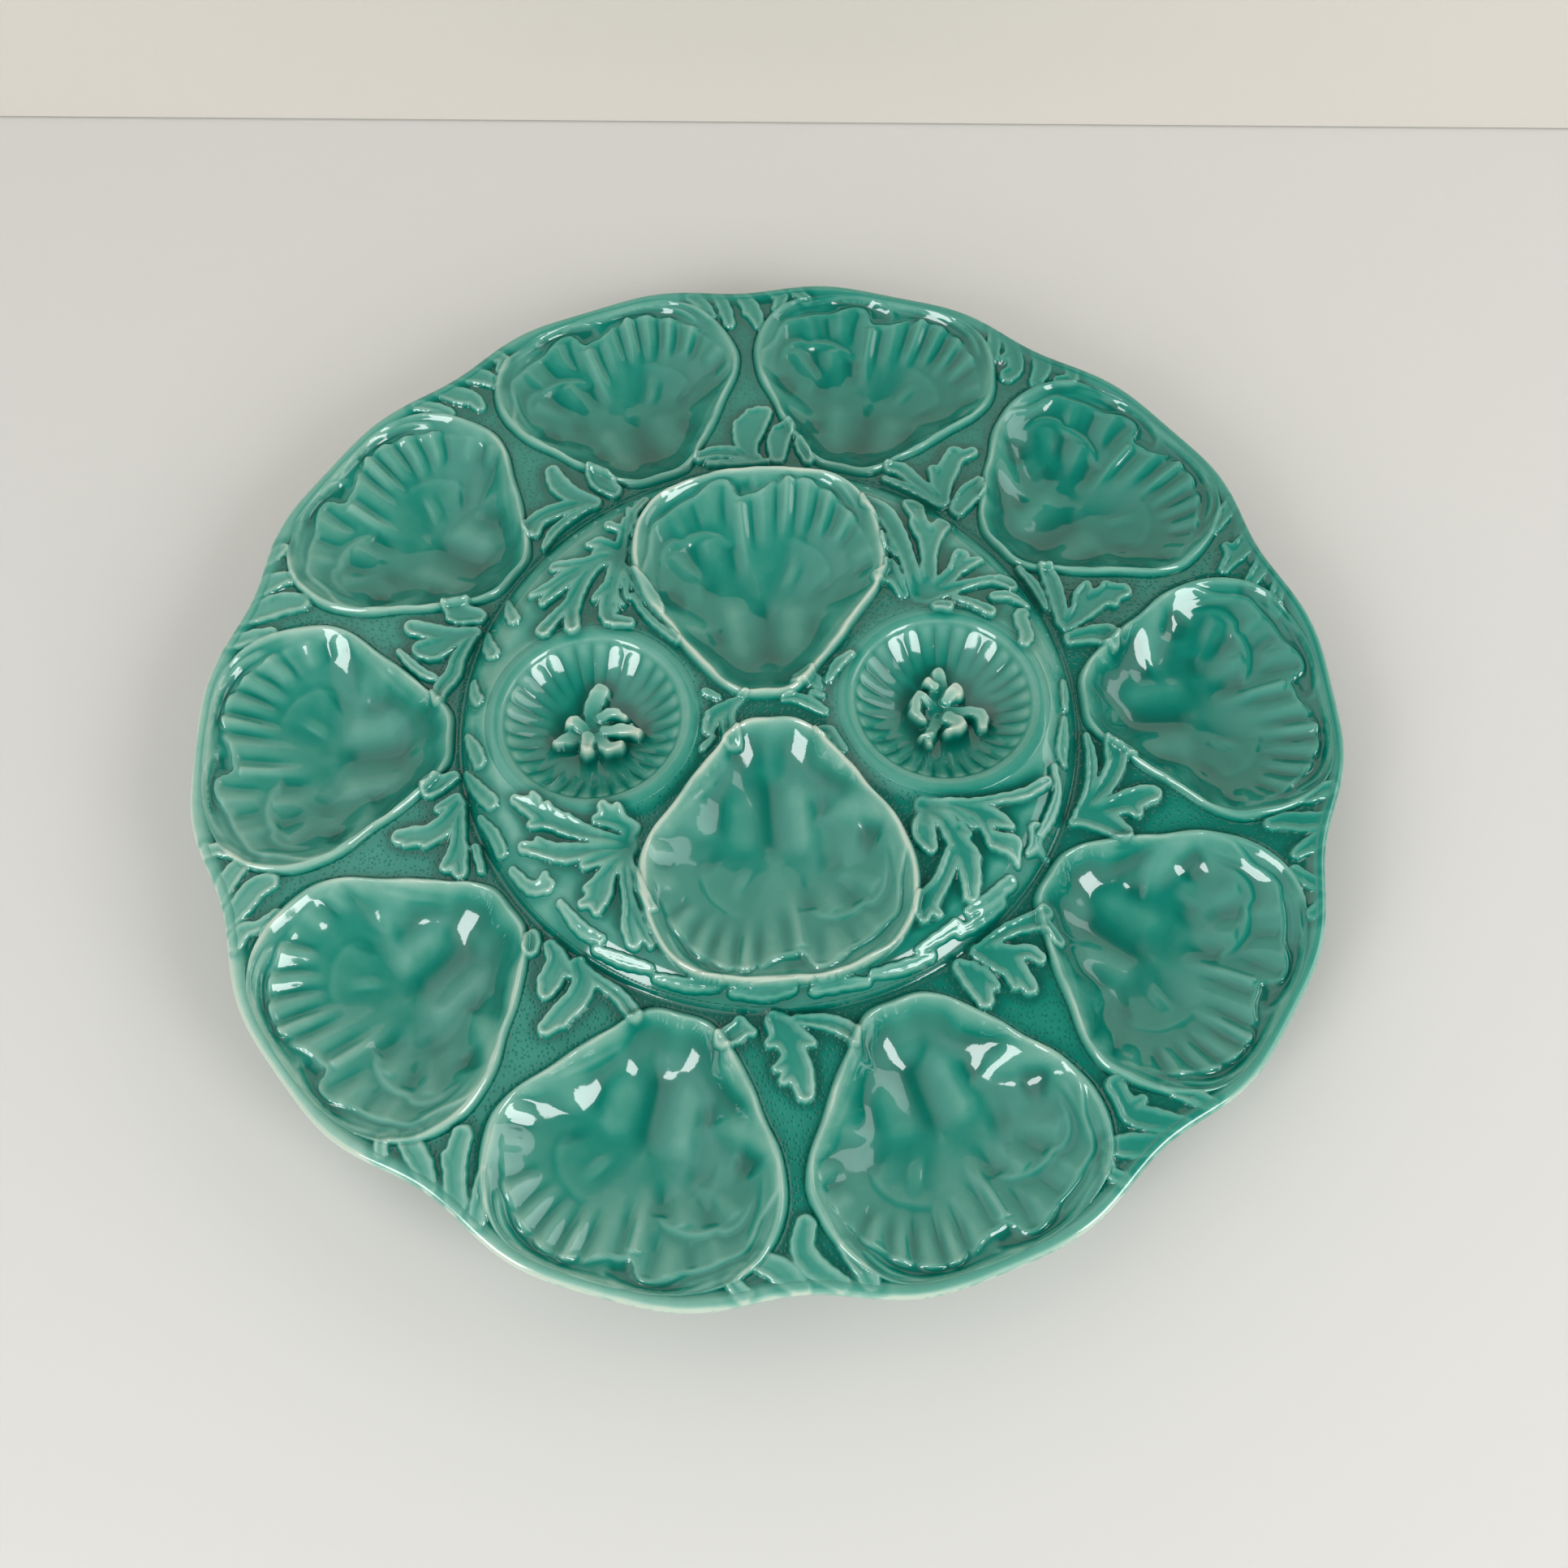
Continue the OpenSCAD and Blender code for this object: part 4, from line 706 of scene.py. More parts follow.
def to_outline(x, y):
    """Distance outside the nearest outer well's outline, in mm."""
    nearest = np.full(x.shape, 99.0)
    for well in range(1, WELLS + 1):
        out, _, edge = shell_place(*shell_local(x, y, well))
        nearest = np.minimum(nearest, out - edge)
    return nearest


def leaf_top(x, y, blades, rise, hub):
    """Height of a leaf together with whatever carries it."""
    lip = ease(6.4, 2.2, rim_at(np.arctan2(y, x)) - np.hypot(x, y))
    lip = np.maximum(lip, ease(152, 158, np.hypot(x, y)) * ease(0.6, -1.6, to_outline(x, y)))
    relief = leaf_relief(*spray_depth(x, y, blades), rise)
    if hub:
        relief *= HUB_SHARE + (1 - HUB_SHARE) * ease(1, 10, np.hypot(x - hub[0], y - hub[1]))
    return under_top(bare_top(x, y) + relief * (1 - lip) - 0.5 * lip)


print(len(seaweed), "sprays with", sum(len(blades) for blades, *_ in seaweed.values()), "blades")

# %% [markdown]
# ## One raster of the whole relief
# The glaze is thin and pale on ridges and pools deep green in hollows. To paint that, the whole
# relief is put on one raster and compared with blurred copies of itself: a point above its
# blurred surroundings is an edge, a point below them is a hollow. Wear, the run of the glaze and
# painted light and shade add to it: beads rubbed pale in patches, deep folds, pale leaf edges with
# a dark line on the ground beside them that is partly pooled glaze and partly painted shade, and
# painted light and shade that change slowly over the whole plate.

# %% Raster and its blurred copies
REACH = LOBE_R + 6
PITCH, LEAF_ROOM = 0.4, 5
PAD_H, LEAF_H, LEAF_STEP, LEAF_CLIMB, KNOB_MELT = 3.8, 3.7, 0.8, 2.8, 0.15


def blur(grid, sigma):
    """Gaussian blur, first down the rows and then across."""
    steps = np.arange(-int(3 * sigma), int(3 * sigma) + 1)
    weights = np.exp(-0.5 * (steps / sigma) ** 2)
    weights /= weights.sum()
    for axis in (0, 1):
        padded = np.pad(grid, [(steps[-1],) * 2 if a == axis else (0, 0) for a in (0, 1)], mode="edge")
        size = grid.shape[axis]
        grid = sum(w * np.take(padded, range(k, k + size), axis) for k, w in enumerate(weights))
    return grid


def spray_box(blades):
    """Plan box of a spray, with room for the leaves' width."""
    spots = np.array([point[:2] for blade in blades for point in blade])
    return spots.min(0) - LEAF_ROOM, spots.max(0) + LEAF_ROOM


def raster_box(x, y, blades):
    low, high = spray_box(blades)
    return (slice(*np.searchsorted(x[:, 0], (low[0], high[0]))),
            slice(*np.searchsorted(y[0], (low[1], high[1]))))


def knob_height(x, y, blades):
    """Knob over the cup's floor: a pad, and thick leaves that climb to free, rounded tips."""
    heights = [PAD_H * ease(11, 4, np.hypot(x, y))]
    for k, blade in enumerate(blades):
        reach = np.clip(np.hypot(x, y) / np.hypot(*blade[-1][:2]), 0, 1)
        depth = blade_depth(x, y, blade) + 0.5 + 0.25 * np.sin(1.1 * x + k) * np.sin(1.3 * y + 2 * k)
        heights.append((LEAF_H + LEAF_STEP * (k % 3) + LEAF_CLIMB * reach ** 2) * ease(-0.6, 1.8, depth))
    return KNOB_MELT * np.log(sum(np.exp(h / KNOB_MELT) for h in heights) / len(heights))


def full_relief(x, y):
    """Height of the finished plate. Past the rim it falls away, to keep the rim an edge."""
    z = bare_top(x, y)
    outside = np.hypot(x, y) - rim_at(np.arctan2(y, x))
    z = np.where(outside > 0, RIM_H - 1 - 2 * np.minimum(outside, 3), z - rim_roll(x, y))
    for blades, rise, hub in seaweed.values():
        box = raster_box(x, y, blades)
        z[box] = np.maximum(z[box], leaf_top(x[box], y[box], blades, rise, hub))
    for side, table in ((1, KNOBS["cup_knob_right"]), (-1, KNOBS["cup_knob_left"])):
        cx = x - side * CUP_X
        here = np.hypot(cx, y) < 22
        z[here] = np.maximum(z[here], CUP_CREST - CUP_DEPTH + knob_height(cx[here], y[here], table))
    return z


def shell_tones(x, y):
    """Glaze pools in the folds, and beads wear pale in patches, most on the centre wells."""
    pooled, bead = np.zeros(x.shape), np.zeros(x.shape)
    for well in SHELLS:
        outer = well <= WELLS
        lx, ly = shell_local(x, y, well)
        out, lean, edge = shell_place(lx, ly)
        depth = folds.at(lx, ly) * ease(0, -3, out - crest_radius(lean, edge, outer))
        pooled += 0.07 * np.maximum(depth, 0) + 0.16 * np.minimum(depth, 0)
        patchy = 0.6 + 0.4 * np.sin(3 * lean + 2 * well) * np.sin(8 * lean + well)
        line = hump(out - crest_radius(lean, edge, outer), 0.9)
        bead += line * (0.22 * patchy * (1 - at_lip(lean)) - 0.12 if outer else 0.32 * patchy)
    return pooled + bead


def leaf_wear_and_shade(x, y):
    """A leaf is pale along its edge, where the glaze wears thin. The ground beside it is darker: partly glaze
    standing deep there, partly painted shade.
    """
    depth = np.full(x.shape, -9.0)
    for blades, *_ in seaweed.values():
        box = raster_box(x, y, blades)
        depth[box] = np.maximum(depth[box], spray_depth(x[box], y[box], blades)[0])
    on_ground = ease(0.9, 0.2, relief.grid - ground(x, y))
    return 0.10 * hump(depth - 0.7, 0.55) - 0.16 * ease(-3.6, -0.7, depth) * ease(0.3, -0.4, depth) * on_ground


def painted_light_and_shade_across(x, y):
    """Painted light and shade over the whole plate: darker towards the right, the back and the outside, lighter
    at the left and the front, in place of the room light that the glaze mirrors unevenly.
    """
    r = np.hypot(x, y)
    return -0.03 - 0.04 * ease(60, 100, r) - (0.075 * x * (r / 136) ** 2 + 0.05 * y) / 136


FINE_BLUR, MIDDLE_BLURS, BROAD_BLURS = 0.9, (0.8, 3.0), (2.5, 9.0)


def between(light, heavy):
    """Ridges and hollows of one size: a lightly blurred relief less a heavily blurred one."""
    return blur(relief.grid, light / PITCH) - blur(relief.grid, heavy / PITCH)


def glaze_thinness_and_painted_light(x, y):
    """More than 0 where the glaze runs thin, and less where it pools, with painted light and shade added over the
    whole plate and beside the leaves.
    """
    fine = relief.grid - blur(relief.grid, FINE_BLUR / PITCH)
    middle, broad = between(*MIDDLE_BLURS), between(*BROAD_BLURS)
    thin = 0.42 * np.clip(fine, -0.7, 0.22) + 0.10 * ease(0.22, 0.75, fine)
    thin += 0.16 * np.clip(middle, 0, 0.8) + 0.40 * np.clip(middle, -0.9, 0)
    thin += 0.04 * np.clip(broad, -1.0, 1.8)
    return thin + shell_tones(x, y) + leaf_wear_and_shade(x, y) + painted_light_and_shade_across(x, y)


folds = mould_field(lambda x, y, _: strokes(x, y, FOLDS), 0)
relief = Field((-REACH, -REACH), (REACH, REACH), PITCH, full_relief)
# This raster holds the glaze's thinness together with painted light and shade.
thinness_and_painted_light = Field((-REACH, -REACH), (REACH, REACH), PITCH, glaze_thinness_and_painted_light)
spread = np.percentile(thinness_and_painted_light.grid, (1, 50, 99))
print("raster", relief.grid.shape, "thinness_and_painted_light", [round(float(v), 2) for v in spread])

# %% [markdown]
# ## Turning plan shapes into closed clay
# Each piece starts as a flat grid. Its points are moved to their plan places, faces that belong
# to a neighbour are deleted, and a Solidify modifier gives it a second side. Then the top points
# take the height of the relief and the bottom points that of the underside. The ragged border of
# what was deleted lies inside the neighbour's clay. Last, the thinness of the glaze is written on
# the points, with wear on the rims and knobs, a paler mound shoulder, the tones of the cups' rings
# and ribs, painted light and shade across the plate, and a painted highlight along the rim.

# %% The clay sheet
THINNEST = 0.3
MERGE = 1e-6


def deselect():
    bpy.ops.object.select_all(action="DESELECT")


def drop_corners(keep, wrap):
    """Removes faces that would touch only at a corner, where a wall can't be closed."""
    while True:
        a, b, c, d = keep, np.roll(keep, -1, 0), np.roll(keep, -1, 1), np.roll(np.roll(keep, -1, 0), -1, 1)
        bad = (a & d & ~b & ~c) | (b & c & ~a & ~d)
        bad[-1, :] = False
        if not wrap:
            bad[:, -1] = False
        if not bad.any():
            return keep
        keep = keep & ~bad & ~np.roll(bad, 1, 0)


def points_of(mesh):
    """The mesh's points as rows of x, y and z in metres."""
    points = np.empty(3 * len(mesh.vertices))
    mesh.vertices.foreach_get("co", points)
    return points.reshape(-1, 3)


def clay_sheet(name, columns, rows, place, top, under, keep=None, wrap=False):
    """Closed mesh from a grid: place(u, v) gives its plan in mm, top and under its two heights."""
    deselect()
    bpy.ops.mesh.primitive_grid_add(x_subdivisions=columns, y_subdivisions=rows, size=1)
    sheet = bpy.context.object
    sheet.name = sheet.data.name = name
    mesh = sheet.data
    flat = points_of(mesh)
    u, v = flat[:, 0] + 0.5, flat[:, 1] + 0.5
    x, y = place(u, v)
    corners = np.empty(4 * len(mesh.polygons), np.int32)
    mesh.polygons.foreach_get("vertices", corners)
    corners = corners.reshape(-1, 4)
    mesh.vertices.foreach_set("co", np.stack([x * MM, y * MM, 0 * x], 1).ravel())
    if keep is not None:
        column = np.minimum((u[corners].mean(1) * columns).astype(int), columns - 1)
        row = np.minimum((v[corners].mean(1) * rows).astype(int), rows - 1)
        kept = np.zeros((columns, rows), bool)
        kept[column, row] = keep(x, y)[corners].all(1)
        kept = drop_corners(kept, wrap)
        for part in (mesh.vertices, mesh.edges):
            part.foreach_set("select", np.zeros(len(part), bool))
        mesh.polygons.foreach_set("select", ~kept[column, row])
        bpy.ops.object.mode_set(mode="EDIT")
        bpy.ops.mesh.delete(type="FACE")
        bpy.ops.object.mode_set(mode="OBJECT")
    if wrap:
        bpy.ops.object.mode_set(mode="EDIT")
        bpy.ops.mesh.select_all(action="SELECT")
        bpy.ops.mesh.remove_doubles(threshold=MERGE)
        bpy.ops.object.mode_set(mode="OBJECT")
    wall = sheet.modifiers.new("wall", "SOLIDIFY")
    wall.thickness, wall.offset = MM, -1
    bpy.ops.object.modifier_apply(modifier=wall.name)
    shape(sheet, top, under)
    bpy.ops.object.shade_smooth()
    return sheet


def shape(sheet, top, under):
    """Heights for the two halves of a solidified sheet, and the glaze's marks on the upper one."""
    mesh = sheet.data
    points = points_of(mesh)
    half = len(points) // 2
    assert np.allclose(points[:half, :2], points[half:, :2], atol=MERGE), sheet.name
    x, y = points[:half, 0] / MM, points[:half, 1] / MM
    points[:half, 2] = top(x, y) * MM
    points[half:, 2] = np.minimum(under(x, y), points[:half, 2] / MM - THINNEST) * MM
    mesh.vertices.foreach_set("co", points.ravel())
    mesh.update()
    mark(sheet)


def mark(sheet):
    """Writes how thin the glaze runs to the points, together with wear and painted light and shade. The underside
    only has the rim's wear and its painted highlight.
    """
    mesh = sheet.data
    x, y, z = points_of(mesh).T / MM
    above, r = np.abs(z - relief.at(x, y)) < 2.5, np.hypot(x, y)
    inward = rim_at(np.arctan2(y, x)) - r
    # Painted highlight: the rim is made paler towards the front, in place of the light it mirrors there. Its
    # outermost edge is pale, partly real wear of the glaze and partly a painted highlight line.
    rim_wear_and_highlight = (0.05 + 0.06 * ease(20, -110, y)) * ease(6, 2, inward) + 0.34 * ease(1.8, 0.3, inward)
    glaze_wear_and_painted_light = rim_wear_and_highlight * ease(24, 27, z)
    if sheet.name.startswith("raised_centre"):
        # The mound is made paler along its shoulder and a little paler near the foot of its slope.
        glaze_wear_and_painted_light += above * (0.25 * ease(70, 82, r) + 0.10 * hump(r - CENTRE_R + 1, 3.0))
    if sheet.name.startswith("sauce_cup"):
        cx = x - np.sign(x) * CUP_X
        cup_r, rib = np.hypot(cx, y), off_rib(np.arctan2(y, cx))
        ribs = 0.17 * ease(19, 26, cup_r) * (1 - rib ** 2) - 0.11 * ease(13, 20, cup_r) * rib ** 3
        glaze_wear_and_painted_light += above * (-0.14 * ease(BOWL_R - 0.4, BOWL_R + 1, cup_r) + ease(BOWL_R, BOWL_R - 1.4, cup_r) * ribs)
    if sheet.name.startswith("cup_knob"):
        glaze_wear_and_painted_light += above * (0.02 + 0.26 * ease(3.6, 7.4, z - CUP_CREST + CUP_DEPTH))
    flat = ease(4.5, 6, inward) * np.maximum(ease(CENTRE_R, CENTRE_R + 1.5, r), ease(80, 74, r))
    # The first mark holds how thin the glaze runs together with painted light and shade; the second marks the
    # flat, stamped ground.
    for title, values in (("thin", thinness_and_painted_light.at(x, y)), ("dotted", flat)):
        attribute = mesh.attributes.get(title) or mesh.attributes.new(title, "FLOAT", "POINT")
        values = np.where(above, values, 0) + (glaze_wear_and_painted_light if title == "thin" else 0)
        attribute.data.foreach_set("value", values.astype(np.float32))


bpy.context.tool_settings.mesh_select_mode = (False, False, True)
made = {}
print("clay sheet ready")

# %% [markdown]
# ## Shell wells
# A well's grid runs in rings from its middle to its outline, so that the bead and the growth
# edges follow the rings. One outer well is modelled, then copied and turned to the other nine
# places. The two centre wells have other proportions and get grids of their own.

# %% Wells
WELL_GRID = 66, 320
EVEN = np.linspace(0, 1, 200)
CROWDED = 1 - (1 - EVEN) ** 1.25
WELL_OVER = 0.6


def well_place(well):
    def place(u, v):
        lean = 2 * math.pi * v
        edge = np.interp(lean, *shell_edge, period=2 * math.pi)
        out = np.interp(u, EVEN, CROWDED) * (edge + WELL_OVER)
        lx, ly = -out * np.sin(lean), MIDDLE_Y + out * np.cos(lean)
        if well <= WELLS:
            a = (well - 1) * STEP
            ly = ly + HINGE_R
            return lx * math.sin(a) + ly * math.cos(a), ly * math.sin(a) - lx * math.cos(a)
        turn = 1 if well == BACK else -1
        return (turn * lx * CENTRE_WELL_W / WELL_W,
                turn * (ly * CENTRE_WELL_L / WELL_L + CENTRE_HINGE))
    return place


def well_under(well):
    low, depth, crest = ((FLANGE_LOW, WELL_DEPTH, CREST) if well <= WELLS
                         else (CENTRE_LOW, CENTRE_WELL_DEPTH, CENTRE_CREST))

    def under(x, y):
        out, lean, edge = shell_place(*shell_local(x, y, well))
        share = np.clip(out / edge, 0, 1)
        belly = (low - crest + depth + WALL) * (1 - share ** shell_power(lean))
        return low - belly + 0.9 * ease(0.975, 1.01, out / edge)
    return under


def add_well(well, node):
    made[node] = clay_sheet(node + "_glazed", *WELL_GRID, well_place(well),
                            lambda x, y: shell_top(x, y, well)[0], well_under(well), wrap=True)


add_well(1, "oyster_well_01")
for i in range(1, WELLS):
    node = f"oyster_well_{i + 1:02d}"
    copy = made["oyster_well_01"].copy()
    copy.data = copy.data.copy()
    copy.name = copy.data.name = node + "_glazed"
    bpy.context.collection.objects.link(copy)
    copy.data.transform(Matrix.Rotation(i * STEP, 4, "Z"))
    mark(copy)
    made[node] = copy
add_well(BACK, "centre_well_back")
add_well(FRONT, "centre_well_front")
print(len(made), "wells,", len(made["oyster_well_01"].data.vertices), "points each")

# %% [markdown]
# ## Flange, mound and foot
# The flange is a ring-shaped grid with the wells cut out of it. Its outer rows crowd together, so
# the rim can roll over in a full round. The mound is a square grid without its wells and cups,
# and dips by a hair where it passes under the ring of a cup.

# %% Flange
def clear_of_wells(x, y, inset):
    """True where no shell outline, drawn in by inset, covers the point."""
    free = np.ones(x.shape, bool)
    for well in SHELLS:
        out, _, edge = shell_place(*shell_local(x, y, well))
        free &= out > edge - inset
    return free


BAND_GRID = 128, 1000
ROLL_ROWS = 11
BAND_IN_R = 96.6
UNDER_BEAD = 1.4
roll = np.sin(np.linspace(0, math.pi / 2, ROLL_ROWS + 1)[1:])
band_rows = np.concatenate([np.linspace(BAND_IN_R, LOBE_R - RIM_ROUND, BAND_GRID[0] + 1 - ROLL_ROWS),
                            LOBE_R - RIM_ROUND * (1 - roll)])


def band_place(u, v):
    angle = 2 * math.pi * v
    r = band_rows[np.round(u * BAND_GRID[0]).astype(int)]
    r = r + (rim_at(angle) - LOBE_R) * ease(130, 176, r)
    return r * np.cos(angle), r * np.sin(angle)


made["rim_band"] = clay_sheet(
    "rim_band_glazed", *BAND_GRID, band_place,
    lambda x, y: ground(x, y) - rim_roll(x, y) - UNDER_BEAD * ease(0, -0.95, to_outline(x, y)),
    lambda x, y: band_under(x, y) + rim_roll(x, y) + ease(0.3, -0.8, to_outline(x, y))
    + 1.5 * ease(98.6, 97, np.hypot(x, y)),
    keep=lambda x, y: clear_of_wells(x, y, 0.95), wrap=True)
print("flange:", len(made["rim_band"].data.polygons), "faces")

# %% Mound
def square_place(low, high):
    def place(u, v):
        return low[0] + u * (high[0] - low[0]), low[1] + v * (high[1] - low[1])
    return place


SPAN, MOUND_GRID = 99.0, (330, 330)
SEAM = 0.3


def mound_keep(x, y):
    on_mound = (np.hypot(x, y) < CENTRE_R + 0.5) & (from_cup(x, y) > RING_R - 1.1)
    return clear_of_wells(x, y, 1.0) & on_mound


def mound_top(x, y):
    r = np.hypot(x, y)
    inside = np.minimum(1, CENTRE_R / np.maximum(r, 1))
    under_cup = SEAM * ease(RING_R + 0.35, RING_R - 0.55, from_cup(x, y))
    return ground(x * inside, y * inside) - 2.0 * ease(97.8, 98.6, r) - under_cup


def mound_under(x, y):
    return CENTRE_LOW - (CENTRE_LOW - FLANGE_LOW - 0.3) * ease(86, 93, np.hypot(x, y))


made["raised_centre"] = clay_sheet(
    "raised_centre_glazed", *MOUND_GRID, square_place((-SPAN, -SPAN), (SPAN, SPAN)),
    mound_top, mound_under, keep=mound_keep)
print("mound:", len(made["raised_centre"].data.polygons), "faces")

# %% [markdown]
# The foot ring is thrown on the wheel, so it is spun: a short profile is extruded from one point
# round the plate's axis.

# %% Foot ring
FOOT_W, FOOT_ROUND, FOOT_STEPS = 5.4, 1.5, 360
FOOT_SWELL = ((0.1, 19), (0.25, 12))
FOOT_TOP = 23.4


def foot_profile():
    inner, outer = CENTRE_R - FOOT_W, CENTRE_R
    turns = np.linspace(0, math.pi / 2, 7)
    left = [(inner + FOOT_ROUND * (1 - math.sin(a)), FOOT_ROUND * (1 - math.cos(a))) for a in turns[::-1]]
    right = [(outer - FOOT_ROUND * (1 - math.sin(a)), FOOT_ROUND * (1 - math.cos(a))) for a in turns]
    (top_in, top_z), (low_in, low_z) = FOOT_SWELL
    flare = [(outer - low_in, low_z), (outer - top_in, top_z), (outer, FOOT_TOP)]
    inside = [(inner, FOOT_TOP), (inner + 0.15, top_z), (inner + 0.3, low_z)]
    return left + right + flare + inside


deselect()
bpy.ops.mesh.primitive_plane_add(size=1)
foot = bpy.context.object
foot.name = foot.data.name = "foot_ring_glazed"
profile = foot_profile()
bpy.ops.object.mode_set(mode="EDIT")
bpy.ops.mesh.select_all(action="SELECT")
bpy.ops.mesh.delete(type="VERT")
bpy.ops.object.mode_set(mode="OBJECT")
foot.data.from_pydata([(r * MM, 0, z * MM) for r, z in profile],
                      [(k, (k + 1) % len(profile)) for k in range(len(profile))], [])
bpy.context.tool_settings.mesh_select_mode = (True, False, False)
bpy.ops.object.mode_set(mode="EDIT")
bpy.ops.mesh.select_all(action="SELECT")
bpy.ops.mesh.spin(steps=FOOT_STEPS, angle=2 * math.pi, center=(0, 0, 0), axis=(0, 0, 1))
bpy.ops.mesh.select_all(action="SELECT")
bpy.ops.mesh.remove_doubles(threshold=MERGE)
bpy.ops.mesh.normals_make_consistent(inside=False)
bpy.ops.object.mode_set(mode="OBJECT")
bpy.context.tool_settings.mesh_select_mode = (False, False, True)
bpy.ops.object.shade_smooth()
mark(foot)
made["foot_ring"] = foot
print("foot ring:", len(foot.data.polygons), "faces")

# %% Sauce cups
CUP_GRID, CUP_OVER = (64, 420), 0.45


def cup_top(x, y):
    return bare_top(x, y) - SEAM * ease(RING_R - 0.35, RING_R + CUP_OVER, from_cup(x, y))


def cup_under(x, y):
    r, low = from_cup(x, y), CUP_CREST - CUP_DEPTH - WALL
    belly = (CENTRE_LOW - low) * (1 - ease(0.45, 0.98, np.clip(r / RING_R, 0, 1)))
    return CENTRE_LOW - belly + 0.8 * ease(RING_R - 0.8, RING_R + 0.3, r)


def add_cup(node, side):
    def place(u, v):
        r = u * (RING_R + CUP_OVER)
        return side * CUP_X + r * np.cos(2 * math.pi * v), r * np.sin(2 * math.pi * v)

    made[node] = clay_sheet(node + "_glazed", *CUP_GRID, place, cup_top, cup_under, wrap=True)


add_cup("sauce_cup_right", 1)
add_cup("sauce_cup_left", -1)
print("cups:", len(made["sauce_cup_right"].data.polygons), "faces each")

# %% [markdown]
# ## Laying the seaweed
# A spray's grid covers the box round its leaves, and only the faces under its leaves are kept.
# Its top is the bare plate plus the leaves' relief, so a leaf drapes over a bead or a slope as
# the real clay does.

# %% Sprays, sprigs and knobs
LEAF_PITCH, LEAF_UNDER, LEAF_BORDER = 0.46, 1.2, -0.95
KNOB_GRID, KNOB_SPAN, KNOB_BORDER = (130, 130), 19, 0.12


def add_spray(node, blades, rise, hub):
    low, high = spray_box(blades)
    columns, rows = (int(s / LEAF_PITCH) for s in high - low)
    made[node] = clay_sheet(
        node + "_glazed", columns, rows, square_place(low, high),
        lambda x, y: leaf_top(x, y, blades, rise, hub), lambda x, y: bare_top(x, y) - LEAF_UNDER,
        keep=lambda x, y: ((spray_depth(x, y, blades)[0] > LEAF_BORDER)
                           & (np.hypot(x, y) < rim_at(np.arctan2(y, x)) - 2.4)))


def add_knob(node, side):
    floor, middle, blades = CUP_CREST - CUP_DEPTH, side * CUP_X, KNOBS[node]
    place = square_place((middle - KNOB_SPAN, -KNOB_SPAN), (middle + KNOB_SPAN, KNOB_SPAN))
    made[node] = clay_sheet(
        node + "_glazed", *KNOB_GRID, place,
        lambda x, y: floor - 0.25 + knob_height(x - middle, y, blades),
        lambda x, y: 0 * x + floor - LEAF_UNDER,
        keep=lambda x, y: knob_height(x - middle, y, blades) > KNOB_BORDER)


for node, (blades, rise, hub) in seaweed.items():
    add_spray(node, blades, rise, hub)
add_knob("cup_knob_right", 1)
add_knob("cup_knob_left", -1)
print(len(made), "pieces,", sum(len(o.data.polygons) for o in made.values()), "faces in all")

# %% [markdown]
# ## The glaze
# Majolica glaze is a coloured glass. Its colour comes from its depth: cream-green where it has
# run thin over an edge, mid green on plain surfaces, and deep emerald where it has pooled. One
# ramp holds these colours. The marks on each piece choose the place on it, with a little cloudy
# and grainy noise; the thin mark also carries painted light and shade. Fine dots are stamped
# into the ground between the leaves.

# %% Glaze material
def node_at(tree, kind, **values):
    node = tree.nodes.new(kind)
    for key, value in values.items():
        setattr(node, key, value)
    return node


def wire(tree, source, target):
    tree.links.new(source, target)


def weigh(tree, source, factor, add):
    """source * factor + add, where add is a number or a socket."""
    node = node_at(tree, "ShaderNodeMath", operation="MULTIPLY_ADD")
    wire(tree, source, node.inputs[0])
    node.inputs[1].default_value = factor
    if isinstance(add, float):
        node.inputs[2].default_value = add
    else:
        wire(tree, add, node.inputs[2])
    return node.outputs[0]


def times(tree, first, second):
    node = node_at(tree, "ShaderNodeMath", operation="MULTIPLY")
    wire(tree, first, node.inputs[0])
    wire(tree, second, node.inputs[1])
    return node.outputs[0]


def mark_of(tree, title):
    """What the pieces carry on their points under this title."""
    return node_at(tree, "ShaderNodeAttribute", attribute_name=title).outputs["Fac"]


def noise(tree, place, scale, detail):
    node = node_at(tree, "ShaderNodeTexNoise")
    node.inputs["Scale"].default_value = scale
    node.inputs["Detail"].default_value = detail
    wire(tree, place, node.inputs["Vector"])
    return node.outputs["Fac"]


def fill_ramp(ramp, tones):
    """Gives a colour ramp its stops: a place from 0 to 1, and a colour."""
    while len(ramp.elements) < len(tones):
        ramp.elements.new(0.5)
    for element, (at, colour) in zip(ramp.elements, tones):
        element.position, element.color = at, (*colour, 1)


GLAZE_TONES = [(0.0, (0.000, 0.135, 0.098)), (0.2, (0.000, 0.185, 0.135)), (0.4, (0.018, 0.245, 0.183)),
               (0.55, (0.066, 0.310, 0.238)), (0.7, (0.140, 0.385, 0.303)), (0.85, (0.265, 0.490, 0.400)),
               (1.0, (0.500, 0.620, 0.510))]
CLOUD_SCALE, GRAIN_SCALE, DOT_SCALE = 38, 260, 760
CLOUD, GRAIN = 0.22, 0.10
GLAZE_ROUGHNESS, GLAZE_IOR = 0.07, 1.72
BUMP_H, DOT_BUMP, GRAIN_BUMP = 0.0004, 0.5, 0.1


def dot_pits(tree, place):
    """Less than 0 in each stamped dot and a little over 0 between them, on the ground only."""
    dots = node_at(tree, "ShaderNodeTexVoronoi", feature="F1")
    dots.inputs["Scale"].default_value = DOT_SCALE
    wire(tree, place, dots.inputs["Vector"])
    pit = node_at(tree, "ShaderNodeMapRange")
    for k, value in ((1, 0.12), (2, 0.45), (3, -0.26), (4, 0.06)):
        pit.inputs[k].default_value = value
    wire(tree, dots.outputs["Distance"], pit.inputs[0])
    return times(tree, pit.outputs[0], mark_of(tree, "dotted"))


